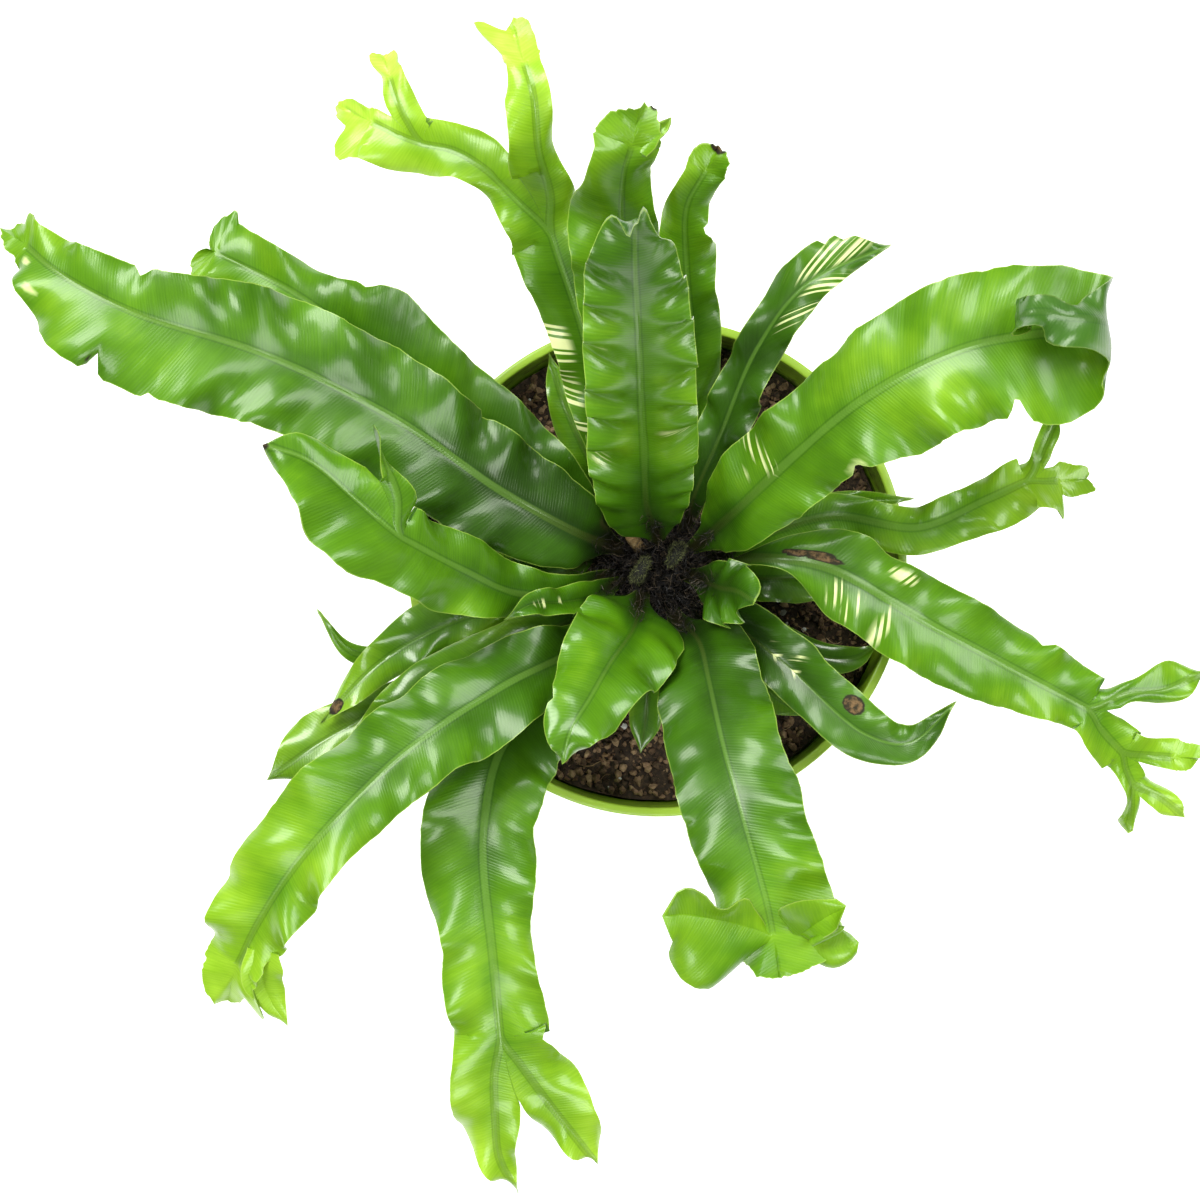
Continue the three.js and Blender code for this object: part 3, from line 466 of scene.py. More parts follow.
relief = flow * 0.3 + scratch * 0.25 + stain * 0.8 + net.noise(place, 1800, 2, 0.5) * 0.1
feed(net, shader, base_color=colour, roughness=(0.3 + flow * 0.12 + stain * 0.4 + dust * 0.4),
     normal=net.bump(relief, 0.35, 0.2 * MM))
print("lime plastic:", len(lime.node_tree.nodes), "nodes")

# %% [markdown]
# The circle that carries the outline round has a radius of 1 m, so the outline goes in 1 m nearer to the
# axis and lands where it should.

# %% Pot
line = bpy.data.meshes.new("pot_outline")
turned = [(x - 1.0, -y, 0.0) for x, y in reversed(outline)]
line.from_pydata(turned, [(i, i + 1) for i in range(len(turned) - 1)], [])
pot = bake("pot_shell", line, pot_tree, lime)
settle(pot, "pot_plastic", "pot", sharp_above=35)
corners = np.array([v.co for v in pot.data.vertices])
print("pot box", corners.min(0).round(4), corners.max(0).round(4))

# %% [markdown]
# ## The potting mix
# Peat fills the pot to 20 mm under the lip. Its surface is a bed of crumbs, with bark bits, pale rootlets
# and white perlite grains on it. The bed is one closed body whose top is raised by noise, and two trees
# with fixed seeds scatter the loose bits over it: one makes the three kinds of grains, one the rootlets.

# %% Soil bed
SOIL_LEVEL = 108 * MM
SOIL_SLOPE = (-0.02, -0.07)
CROWN_RADIUS = 15 * MM
CROWN_RISE = 21 * MM
SOIL_EDGE = BAND_RADIUS - WALL - 0.8 * MM
SOIL_FOOT = POT_FLOOR + 0.4 * MM
WALL_GAP = 1 * MM
BED_RINGS = 64
BED_SIDES = 260


def clods(x, y):
    """The height of the soil's lumps over the plain slope, in metres."""
    a, b = x / MM, y / MM
    coarse = math.sin(0.21 * a + 1.3 * math.sin(0.16 * b)) * math.cos(0.18 * b + 0.9)
    fine = math.sin(0.47 * a + 2.1) * math.sin(0.43 * b + 0.4 * math.sin(0.3 * a))
    crumb = noise.fractal(Vector((a * 0.16, b * 0.16, 3.0)), 0.9, 2.1, 4)
    return (1.3 * (0.65 * coarse + 0.35 * fine) + 1.5 * crumb) * MM


def soil_height(x, y):
    return SOIL_LEVEL + SOIL_SLOPE[0] * x + SOIL_SLOPE[1] * y + clods(x, y)


def turned_body(profile, sides, lift):
    """A closed body of rings about the axis, from the foot's middle round to the top's middle."""
    points, rings, faces = [], [], []
    for radius, height, raised in profile:
        ring = []
        for k in range(1 if radius == 0 else sides):
            angle = TAU * k / sides
            x, y = radius * math.cos(angle), radius * math.sin(angle)
            ring.append(len(points))
            points.append((x, y, lift(x, y) if raised else height))
        rings.append(ring)
    for low, high in zip(rings, rings[1:]):
        for k in range(sides):
            n = (k + 1) % sides
            if len(low) == 1:
                faces.append((low[0], high[n], high[k]))
            elif len(high) == 1:
                faces.append((low[k], low[n], high[0]))
            else:
                faces.append((low[k], low[n], high[n], high[k]))
    return points, faces


profile = [(0, SOIL_FOOT, False), (FOOT_RADIUS - WALL - WALL_GAP, SOIL_FOOT, False),
           (SHOULDER_RADIUS - WALL - WALL_GAP, BAND_FOOT + WALL, False)]
profile += [(radius, 0, True) for radius in np.linspace(SOIL_EDGE, 3 * MM, BED_RINGS)] + [(0, 0, True)]
points, faces = turned_body(profile, BED_SIDES, soil_height)
soil_mesh = mesh_from("soil_bed", points, faces)
print("soil bed:", len(points), "points")

# %% [markdown]
# Peat is nearly black where it is damp and lighter brown on the dry crumbs. The colour follows two noises
# and the loose bits take their own tones from a value that each one is given when it is scattered.

# %% Soil finishes
TONE_STOPS = (0.25, 0.52, 0.8)


def earth(name, tones, coarse, fine, roughness):
    """A crumbly finish of three tones, dark to light, with bumps at two sizes."""
    material, net, shader = new_material(name)
    place = net.place()
    lump = net.noise(place, coarse, 5, 0.65)
    grain = net.noise(place, fine, 4, 0.7)
    shade = lump * 0.5 + grain * 0.35 + net.fact("own") * 0.45 - 0.16
    colour = net.ramp([(stop, screen(*tone)) for stop, tone in zip(TONE_STOPS, tones)], shade)
    feed(net, shader, base_color=colour, roughness=(roughness + grain * 0.1),
         normal=net.bump(lump * 0.5 + grain * 0.5, 0.7, 0.5 * MM))
    return material


peat = earth("peat", ((46, 35, 24), (122, 96, 70), (184, 154, 118)), 700, 2600, 0.86)
bark = earth("bark", ((54, 36, 24), (108, 80, 54), (160, 128, 92)), 500, 2200, 0.8)
root_finish = earth("rootlet", ((110, 86, 58), (158, 130, 94), (206, 182, 144)), 300, 1500, 0.75)
perlite = earth("perlite", ((170, 168, 160), (222, 220, 212), (248, 247, 242)), 900, 2400, 0.8)
soil_bed = new_object("soil_bed", soil_mesh, peat)
settle(soil_bed, "potting_mix", "soil", sharp_above=60)

# %% [markdown]
# ## Scattering
# Crumbs, chips and grains could be placed one by one in Python, but a tree does it in a few nodes, and a
# fixed seed gives the same bits each time. Three steps come back in every such tree: points strewn over the
# faces, a number for each bit, and a wobble. A share from 0 to 1, raised to a power, makes small bits
# common and large ones rare.

# %% Steps that the scatter trees share
FULL_TURN = 6.28
MANY_SMALL = 2.2


def strewn(net, given):
    """Random points on the faces that go into the tree."""
    return net.node("GeometryNodeDistributePointsOnFaces", {"distribute_method": "RANDOM"}, {
        "Mesh": given["Geometry"], "Density": given["Density"], "Seed": given["Seed"]})


def with_own_tone(net, placed, seed):
    """Gives each bit a number of its own, which its finish reads, and turns the copies into real bits."""
    placed = net.node("GeometryNodeStoreNamedAttribute", {"data_type": "FLOAT", "domain": "INSTANCE"}, {
        "Geometry": placed, "Name": "own", "Value": net.random(0.0, 1.0, seed)})
    return net.node("GeometryNodeRealizeInstances", None, {0: placed})


def wobbled(net, loose, scale, detail, middle, amount):
    """Moves each point by a smooth noise, so that no two bits are alike."""
    wobble = net.noise(net.node("GeometryNodeInputPosition"), scale, detail, out="Color")
    wobble = net.scaled(net.vector_math("SUBTRACT", wobble, middle), amount)
    return net.node("GeometryNodeSetPosition", None, {"Geometry": loose, "Offset": wobble})


print("three steps for the trees of grains, rootlets and hairs")

# %% Scatter tree
net, given = new_tree("scattered grains", Density=60000.0, Seed=1, Smallest=0.5, Largest=1.5, Flatness=1.0,
                      Slimness=0.7, Rough=0.35, Detail=1)
grain = net.node("GeometryNodeMeshIcoSphere", None, {
    "Radius": 1.0 * MM, "Subdivisions": given["Detail"]}, "Mesh")
turn = net.node("FunctionNodeRandomValue", {"data_type": "FLOAT_VECTOR"}, {
    "Min": (0, 0, 0), "Max": (FULL_TURN, FULL_TURN, FULL_TURN), "Seed": 5})
size = net.random(0.0, 1.0, 7).power(MANY_SMALL)
size = given["Smallest"] + (given["Largest"] - given["Smallest"]) * size
flat = net.vector(size, size * given["Slimness"], size * given["Flatness"])
placed = net.node("GeometryNodeInstanceOnPoints", None, {
    "Points": strewn(net, given), "Instance": grain, "Scale": flat})
placed = net.node("GeometryNodeRotateInstances", None, {
    "Instances": placed, "Rotation": turn, "Local Space": True})
loose = with_own_tone(net, placed, 9)
loose = wobbled(net, loose, 900.0, 2.0, (0.5, 0.5, 0.5), given["Rough"] * (3 * MM))
close_tree(net, loose, given["Material"])
grain_tree = net.tree
print("scatter tree:", len(grain_tree.nodes), "nodes")

# %% Loose bits on the soil
GROUND_SIDES = 90
GROUND_STEPS = 18
GROUND_LIFT = 0.15 * MM


def soil_top(name, inner, outer):
    """The part of the soil's surface between two radii, as the ground that bits are scattered on."""
    lifted, quads, sides = [], [], GROUND_SIDES
    for i in range(GROUND_STEPS + 1):
        radius = inner + (outer - inner) * i / GROUND_STEPS
        for k in range(sides):
            x, y = radius * math.cos(TAU * k / sides), radius * math.sin(TAU * k / sides)
            lifted.append((x, y, soil_height(x, y) + GROUND_LIFT))
    for i in range(GROUND_STEPS):
        for k in range(sides):
            n = (k + 1) % sides
            quads.append((i * sides + k, (i + 1) * sides + k, (i + 1) * sides + n, i * sides + n))
    return mesh_from(name, lifted, quads)


ground = soil_top("ground", CROWN_RADIUS, SOIL_EDGE - 1 * MM)
crumbs = bake("soil_crumbs", ground.copy(), grain_tree, peat, Density=330000.0, Seed=3, Smallest=0.45,
              Largest=2.2, Flatness=0.7, Rough=0.85)
chips = bake("bark_chips", ground.copy(), grain_tree, bark, Density=20000.0, Seed=11, Smallest=0.8,
             Largest=4.2, Flatness=0.3, Slimness=0.36, Rough=0.7)
grains = bake("perlite_grains", ground.copy(), grain_tree, perlite, Density=5200.0, Seed=23, Smallest=0.5,
              Largest=1.5, Flatness=0.9, Rough=0.3, Detail=2)
for piece in (crumbs, chips):
    settle(piece, "potting_mix")
settle(grains, "potting_mix", sharp_above=80)

# %% Rootlets
net, given = new_tree("rootlets", Density=9000.0, Seed=1, Length=7.0, Thickness=0.14)
arc = net.node("GeometryNodeCurveQuadraticBezier", None, {
    "Resolution": 7, "Start": (-0.5, 0, -0.05), "Middle": (0.0, 0.35, 0.16), "End": (0.5, 0, 0.0)})
size = net.random(0.35, 1.0, 4) * given["Length"] * MM
placed = net.node("GeometryNodeInstanceOnPoints", None, {
    "Points": strewn(net, given), "Instance": arc,
    "Rotation": net.vector(0.0, 0.0, net.random(0.0, FULL_TURN, 2)), "Scale": net.vector(size, size, size)})
loose = wobbled(net, with_own_tone(net, placed, 6), 260.0, 2.0, (0.5, 0.5, 0.45), 4 * MM)
ring = net.node("GeometryNodeCurvePrimitiveCircle", None, {
    "Resolution": 4, "Radius": given["Thickness"] * MM})
tubes = net.node("GeometryNodeCurveToMesh", None, {"Curve": loose, "Profile Curve": ring, "Fill Caps": True})
close_tree(net, tubes, given["Material"])
rootlets = bake("rootlets", ground.copy(), net.tree, root_finish, Seed=5)
settle(rootlets, "potting_mix", sharp_above=80)

# %% [markdown]
# ## The crown
# All fronds grow from one rootstock in the middle. It is covered with black-brown papery scales and curly
# hairs. A plain dome carries them: one tree stands narrow scales on its skin, and another grows hairs.

# %% Crown dome
CROWN_SINK = 1.2 * MM
CROWN_RIPPLE = 0.8 * MM
RIPPLE_WIDTH = 3 * MM
DOME_RINGS = 16
DOME_SIDES = 72


def crown_height(x, y):
    """The height of the dome's skin, rippled so that it has no smooth edge."""
    inside = max(0.0, 1 - (x * x + y * y) / CROWN_RADIUS ** 2)
    ripple = CROWN_RIPPLE * noise.noise(Vector((x, y, 0.0)) / RIPPLE_WIDTH)
    return SOIL_LEVEL + (CROWN_RISE - CROWN_SINK) * math.sqrt(inside) + ripple


rings = [CROWN_RADIUS * math.cos(math.pi / 2 * i / DOME_RINGS) for i in range(DOME_RINGS)]
dome_foot = SOIL_LEVEL - 12 * MM
profile = [(0, dome_foot, False), (CROWN_RADIUS - 0.4 * MM, dome_foot, False)]
profile += [(radius, 0, True) for radius in rings] + [(0, 0, True)]
points, faces = turned_body(profile, DOME_SIDES, crown_height)
scale_brown = earth("crown_scale", ((5, 4, 3), (15, 12, 10), (40, 31, 23)), 600, 2400, 0.7)
fuzz_brown = earth("crown_hair", ((6, 5, 4), (24, 20, 16), (112, 98, 80)), 400, 1500, 0.42)
crown = new_object("crown_dome", mesh_from("crown_dome", points, faces), scale_brown)
settle(crown, "rootstock", "crown", sharp_above=60)

# %% Scale and hair trees
def hair_tree(name, steps, sides, **inputs):
    """A tree that stands bent, tapered hairs on a skin. With a Flatness input a hair is a flat scale."""
    net, given = new_tree(name, Density=1.0, Seed=1, Length=6.0, Thickness=0.12, Bend=0.5, Curl=3.0, **inputs)
    where = strewn(net, given)
    facing = Value(net, where.socket.node.outputs["Rotation"])
    bend = given["Bend"]
    strand = net.node("GeometryNodeCurveQuadraticBezier", None, {
        "Resolution": steps, "Start": (0, 0, -0.05), "Middle": net.vector(bend * 0.15, 0.0, 0.55),
        "End": net.vector(bend, 0.0, 0.85)})
    size = net.random(0.35, 1.0, 4) * given["Length"] * MM
    lean = net.vector(net.random(-0.5, 0.5, 8), net.random(-0.5, 0.5, 9), net.random(0.0, FULL_TURN, 2))
    turn = net.node("FunctionNodeRotateRotation", {"rotation_space": "LOCAL"}, {
        "Rotation": facing, "Rotate By": net.node("FunctionNodeEulerToRotation", None, {0: lean})})
    placed = net.node("GeometryNodeInstanceOnPoints", None, {
        "Points": where, "Instance": strand, "Rotation": turn, "Scale": net.vector(size, size, size)})
    along = net.node("GeometryNodeSplineParameter", None, None, "Factor")
    loose = wobbled(net, with_own_tone(net, placed, 6), 330.0, 1.0, (0.5, 0.5, 0.5),
                    given["Curl"] * along * (2 * MM))
    thick = given["Thickness"] * MM * (1.05 - along * along)
    loose = net.node("GeometryNodeSetCurveRadius", None, {"Curve": loose, "Radius": thick})
    ring = net.node("GeometryNodeCurvePrimitiveCircle", None, {"Resolution": sides, "Radius": 1.0})
    if "Flatness" in given:
        flat = net.vector_math("MULTIPLY", net.node("GeometryNodeInputPosition"),
                               net.vector(1.0, given["Flatness"], 1.0))
        ring = net.node("GeometryNodeSetPosition", None, {"Geometry": ring, "Position": flat})
    tubes = net.node("GeometryNodeCurveToMesh", None, {
        "Curve": loose, "Profile Curve": ring, "Scale": thick, "Fill Caps": True})
    close_tree(net, tubes, given["Material"])
    return net.tree


hair = hair_tree("hairs", 7, 3)
scales = hair_tree("scales", 4, 4, Flatness=0.16)
print("hair tree:", len(hair.nodes), "nodes, scale tree:", len(scales.nodes))

# %% Scales and hairs on the crown
skin = soil_top("skin", 0.2 * MM, CROWN_RADIUS)
for vertex in skin.vertices:
    vertex.co.z = crown_height(vertex.co.x, vertex.co.y)
crown_scales = bake("crown_scales", skin.copy(), scales, scale_brown, Density=1100000.0, Seed=2, Length=6.5,
                    Thickness=0.55, Bend=0.5, Curl=2.2)
crown_hairs = bake("crown_hairs", skin.copy(), hair, fuzz_brown, Density=2200000.0, Seed=8, Length=8.5,
                   Thickness=0.15, Bend=0.8, Curl=5.0)
for piece in (crown_scales, crown_hairs):
    settle(piece, "rootstock", sharp_above=80)

# %% [markdown]
# ## The fronds' courses
# Each frond leaves the crown at an azimuth and a height angle, and then keeps to an upright plane at its
# heading. Its rib passes through points of reach, sway to the left and height, in millimetres. The widths
# to the left and right of the rib stand at even stations from the root to the tip. A fork lists its left
# and its right limb, and a fan ends a limb in a crest. These are the frame's own fronds, told again here
# because a finer surface needs more rows than the frame has. Three small functions name the numbers of a
# frond, a limb and a crest, so that each record stays short.
#
# Some crests curl into lobes. Each lobe is a short limb of its own, with its trough (the slope of its
# halves, in degrees), its roll (how far the left and right half bend on towards the margin) and calm,
# the share of the ripples that it keeps. A blade that folds over says from where it lies flat, and slant
# says how steeply a blade's veins leave its rib.

# %% Frond records
def new_limb(rib, left, right, **more):
    """A course and its widths. More may hold a fork, a fan, or a lobe's own trough, roll and calm."""
    return dict(rib=rib, left=left, right=right, **more)


def crest(start, ahead, lift, left, right):
    """Radii from the angle where a fan starts, in degrees, round to straight ahead."""
    return dict(start=start, ahead=ahead, lift=lift, left=left, right=right)


def new_frond(name, angles, trough, ripple, rib, left, right, **more):
    """Angles are the azimuth and rise of the frond's seat and its heading. Ripple is depth, length, phase."""
    azimuth, rise, heading = angles
    return dict(name=name, azimuth=azimuth, rise=rise, heading=heading, trough=trough, ripple=ripple,
                **new_limb(rib, left, right, **more))


print("a crest:", crest(90, 2, 0, [11, 7], [14, 6]))

# %% Long fronds
LONG_FRONDS = [
    new_frond(
        "west_long", (154, 44, 154), (16, 10), (2.6, 27, 0.4),
        [(28, 2, 154), (54, 1, 168), (89, -4, 182), (130, -4, 192), (170, 2, 199), (195, 1, 196),
         (208, -2, 190)],
        [2, 8, 16, 19, 21, 20, 21, 23, 23, 20, 7], [2, 8, 15, 18, 18, 20, 20, 19, 15, 12, 8],
        fan=crest(90, 9, 1, [6, 5, 7, 8], [8, 9, 7, 9])),
    new_frond(
        "west_back", (142, 24, 146), (14, 8), (2.2, 30, 1.9),
        [(32, 0, 141), (69, -4, 156), (110, -6, 166), (140, -6, 171), (164, -3, 170)],
        [2, 4, 10, 14, 16, 16, 15, 14, 12, 11, 11], [2, 4, 10, 14, 15, 16, 17, 20, 11, 10, 12],
        fan=crest(90, 2, 0, [11, 7], [14, 6])),
    new_frond(
        "west_lobed", (190, 38, 170), (14, 8), (1.8, 24, 2.6),
        [(27, 13, 150), (42, 16, 164), (58, 12, 182), (76, 6, 199)],
        [2, 4, 5, 7, 12, 16, 16], [2, 4, 6, 9, 11, 11, 10],
        fork=[
            new_limb([(91, -3, 206), (105, -11, 210), (118, -13, 211)], [16, 20, 20, 18, 14, 9, 0],
                     [10, 12, 11, 9, 8, 6, 0]),
            new_limb([(79, -6, 203), (84, -15, 208), (88, -24, 211)], [8, 6, 4, 2.2, 1.6],
                     [9.5, 7, 3.4, 1.8, 1.4]),
        ]),
    new_frond(
        "southwest_long", (226, 38, 224), (18, 8), (2.6, 26, 4.1),
        [(32, 2, 148), (61, -7, 169), (95, -13, 181), (134, -12, 183), (160, -7, 176), (176, -2, 168)],
        [2, 5, 8, 13, 17, 16, 14, 12, 13, 12, 9], [2, 5, 9, 14, 16, 16, 17, 18, 18, 17, 12],
        fan=crest(85, 17, -2, [9, 10, 19, 12, 15], [12, 12, 12, 14, 16]),
        lobes=[
            new_limb([(166, 0, 173), (172.6, 5.5, 170), (176.6, 12.9, 166), (179.1, 22, 163)],
                     [5, 7, 6, 5, 3, 0.6], [5, 6, 6, 4, 3, 0.6], trough=(20, 20), roll=(-30, -30),
                     calm=0.3),
        ]),
    new_frond(
        "south_forked", (242, 20, 244), (12, 6), (2.4, 28, 0.9),
        [(37, -6, 138), (70, -19, 149), (97, -13, 157), (131, 7, 160), (151, 19, 157)],
        [2, 4, 8, 12, 18, 19, 16, 17, 13, 14, 16], [2, 4, 7, 11, 15, 17, 20, 20, 16, 17, 15],
        fork=[
            new_limb([(157, 29, 155), (164, 41, 151), (177, 65, 143)], [16, 13, 12, 13, 11, 8, 0],
                     [4, 7, 8, 8, 7, 5, 0]),
            new_limb([(164, 23, 153), (176, 29, 149), (188, 36, 144), (197, 47, 139)],
                     [4, 7, 8, 8, 6, 4, 0], [15, 14, 14, 13, 9, 5, 0]),
        ]),
    new_frond(
        "south_curled", (290, 36, 287), (14, 4), (2.2, 25, 3.3),
        [(27, 5, 148), (38, 4, 160), (55, 2, 174), (73, 1, 184), (104, 0, 190), (113, -1, 191)],
        [2, 6, 13, 17, 17, 18, 18, 19, 19, 19, 20], [2, 5, 9, 14, 17, 18, 18, 18, 17, 15, 14],
        fan=crest(90, 12.5, -2, [20, 20, 18, 15, 13.5, 12.5], [14, 13, 12, 12, 13, 12.5]),
        lobes=[
            new_limb([(113, -1.5, 190.5), (107.5, -8, 194), (101.7, -17, 199), (97.3, -25, 203),
                     (96, -30.2, 206)], [3, 15, 22, 21, 15, 4], [1, 4, 7, 10, 6, 5.5, 9, 10, 4],
                     trough=(24, 20), roll=(-64, 24), calm=0.8),
            new_limb([(115.4, 5.5, 190.5), (112.3, 11.3, 197), (110.3, 17, 200), (109, 21, 203)],
                     [2, 10, 11, 7, 2], [1, 5, 6, 5, 1], trough=(30, 24), roll=(-20, 40), calm=0.7),
            new_limb([(117, 8, 191), (120, 13, 193), (121.5, 18, 194.5), (121.5, 22, 194.5)],
                     [3, 5, 6, 5, 2], [3, 6, 7, 5, 2], trough=(10, 10), roll=(-30, -50), calm=0.3),
            new_limb([(117.5, 8.5, 197), (116, 14, 199.5), (115, 19, 200.5)], [4, 5, 5, 4], [4, 5, 5, 4],
                     trough=(-20, -20), roll=(-250, -250), calm=0.0),
        ]),
    new_frond(
        "east_forked", (354, 36, 347), (12, 6), (1.8, 24, 5.2),
        [(28, 9, 148), (50, 11, 157), (82, 2, 155), (109, -5, 151), (140, -13, 146)],
        [2, 2, 2, 8, 14, 13, 14, 14, 13, 13, 11], [2, 2, 2, 4, 13, 15, 16, 16, 14, 11, 8],
        fork=[
            new_limb([(150, -6, 149), (161, -2, 152), (171, 6, 153)], [11, 4, 4, 8, 8, 0],
                     [4, 4, 3, 4, 5, 0]),
            new_limb([(147, -19, 143), (155, -24, 140)], [3, 6, 8, 9], [8, 8, 8, 8],
                     fork=[
                         new_limb([(165, -23, 138), (172, -22, 138)], [8, 6, 6], [2, 3, 4],
                                  fan=crest(80, 8, 0, [6, 6, 9], [4, 5, 7])),
                         new_limb([(158, -29, 138), (161, -33, 137)], [3, 5, 6], [8, 4, 4],
                                  fork=[
                                      new_limb([(170, -35, 136), (181, -40, 134)], [6, 4, 4, 0],
                                               [3, 4, 4, 0]),
                                      new_limb([(163, -40, 135), (165, -49, 132)], [3, 4, 3, 0],
                                               [4, 4, 4, 0]),
                                  ]),
                     ]),
        ]),
    new_frond(
        "east_mid", (10, 24, 12), (12, 8), (1.8, 22, 1.1),
        [(34, 3, 136), (57, 4, 141), (82, -5, 147), (103, -1, 152), (116, 2, 155)],
        [2, 4, 7, 8, 8, 7, 7, 7, 7, 8], [2, 4, 8, 11, 11, 9, 9, 9, 11, 10],
        fork=[
            new_limb([(122, 10, 158), (129, 22, 164)], [8, 3, 3, 3, 0], [4, 4, 3, 3, 0]),
            new_limb([(121, 1, 154), (126, 0, 153)], [4, 5, 5], [10, 10, 10],
                     fan=crest(88, 9, 1, [6, 6, 7, 10.5], [12, 4.5, 6, 8, 11])),
        ]),
    new_frond(
        "northeast_big", (30, 46, 28), (18, 4), (2.2, 27, 2.2),
        [(29, 4, 161), (50, 10, 181), (75, 15, 199), (103, 14, 210), (125, 7, 211), (136, 2, 212.5),
         (140, 1, 218), (136.5, 3.5, 223.5), (128.3, 8.3, 226.5), (124.6, 11.5, 227), (120.4, 13.6, 227),
         (117.4, 14.3, 223.6), (118.8, 14, 220), (122, 13.6, 220.4), (122.4, 13.5, 223.2)],
        [2, 4, 6, 9, 12, 15, 16, 16, 16, 16, 17, 17, 19, 20, 21, 21, 21, 20, 18, 16, 9, 3.5, 5, 6, 3],
        [2, 4, 6, 9, 12, 14, 15, 16, 16, 17, 19, 21, 23, 24, 24, 23, 24, 26, 25, 20, 14, 9, 5, 5, 3],
        flat_from=0.62),
    new_frond(
        "northeast_narrow", (56, 34, 54), (24, 10), (1.6, 22, 0.2),
        [(25, 4, 143), (45, 9, 162), (69, 15, 184), (90, 14, 198), (113, 1, 199)],
        [2, 4, 6, 8, 9, 8, 7, 7, 9, 9, 0], [2, 3, 5, 7, 9, 9, 8, 8, 7, 4, 0], slant=2.2),
    new_frond(
        "north_right", (80, 22, 84), (16, 8), (1.8, 22, 3),
        [(43, -4, 146), (72, -2, 162), (90, 2, 176), (105, 4, 191), (114, 0, 198)],
        [2, 4, 8, 10, 11, 11, 11, 9, 7, 6], [2, 3, 4, 6, 9, 10, 9, 9, 7, 6],
        fan=crest(88, 8, 0, [6, 7, 8], [6, 6, 8])),
    new_frond(
        "north_curled", (96, 46, 98), (14, 12), (1.8, 26, 4.4),
        [(25, 1, 145), (45, 0, 162), (70, 0, 185), (95, -1, 210), (108, -3, 227), (114, -6, 232)],
        [2, 5, 10, 13, 14, 15, 15, 16, 16, 14, 11], [2, 4, 8, 10, 11, 11, 12, 12, 11, 9, 8],
        fan=crest(88, 11, -2, [11, 10, 10, 10], [8, 8, 9, 11]),
        lobes=[
            new_limb([(112, -8, 231), (116, -12, 232), (117.6, -15.5, 232), (119.6, -17.7, 234)],
                     [3, 3.5, 3, 2, 0.6], [3, 4, 3, 2, 0.6], trough=(10, 30), roll=(40, 40), calm=0.3),
        ]),
    new_frond(
        "north_forked", (112, 28, 107), (16, 8), (1.6, 25, 1.5),
        [(26, 4, 134), (42, 4, 145), (69, 2, 160), (103, 3, 180)],
        [2, 4, 7, 10, 11, 12, 13], [2, 3, 6, 9, 11, 12, 12],
        fork=[
            new_limb([(114, 9, 186), (126, 16, 188), (134, 23, 187), (139, 31, 185)],
                     [14, 11, 8, 6, 7, 9, 9], [3, 5, 7, 8, 9, 8, 8],
                     fork=[
                         new_limb([(144, 37, 182), (151, 44, 180)], [9, 11, 12], [4, 4, 4],
                                  fan=crest(88, 12, 1, [12, 15, 13, 9, 11], [4, 4, 4, 6, 10])),
                         new_limb([(148, 34, 184), (156, 35, 182), (162, 35, 181)], [4, 4, 4, 3],
                                  [8, 6, 5, 5], fan=crest(80, 7, 0, [3, 4, 9], [5, 5, 8])),
                     ]),
            new_limb([(113, 0, 191), (124, 0, 203), (138, -3, 212), (147, -3, 211)], [5, 7, 9, 10, 9, 8, 5],
                     [12, 9, 7, 5, 5, 5, 5], fan=crest(85, 12, 1, [5, 6, 8, 18, 11], [5, 6, 7, 10, 13])),
        ]),
    new_frond(
        "southeast", (328, 24, 332), (20, 14), (1.4, 22, 2),
        [(28, -4, 135), (51, -9, 149), (80, -16, 157), (93, -12, 158), (99, 6, 163)],
        [2, 5, 9, 11, 11, 11, 11, 10, 7, 4, 0], [2, 3, 5, 8, 9, 10, 9, 9, 7, 4, 0], slant=1.4),
]
print("long fronds:", len(LONG_FRONDS))

# %% Inner and low fronds
INNER_FRONDS = [
    new_frond(
        "inner_north", (92, 62, 91), (18, 10), (2.2, 17, 0.6),
        [(20, 4, 160), (34, 5, 186), (46, 6, 209), (63, 7, 238), (76, 8, 258), (86, 8, 272), (84, 8, 281)],
        [2, 12, 16, 18, 18, 17, 17, 16, 15, 12, 0], [2, 9, 14, 16, 17, 17, 17, 17, 14, 10, 0]),
    new_frond(
        "inner_southwest", (240, 58, 239), (16, 12), (1.6, 20, 2.9),
        [(22, 3, 154), (33, 2, 168), (45, 2, 178), (56, 2, 184), (66, 5, 182)],
        [2, 6, 13, 18, 18, 18, 16, 13, 12, 8, 0], [2, 5, 12, 17, 19, 19, 17, 14, 12, 8, 0]),
    new_frond(
        "inner_east", (345, 56, 346), (10, -14), (2, 14, 1.2),
        [(20, -2, 153), (25, -2, 164), (30, -4, 172)],
        [2, 4, 7, 9, 9, 7, 0], [2, 4, 8, 11, 11, 8, 0]),
    new_frond(
        "inner_west", (201, 46, 197), (30, 34), (0.8, 20, 0.2),
        [(23, 3, 146), (32, 2, 160), (42, 0, 173), (50, 2, 178)],
        [2, 4, 6, 7, 6, 5, 0], [2, 4, 6, 7, 6, 5, 0]),
]

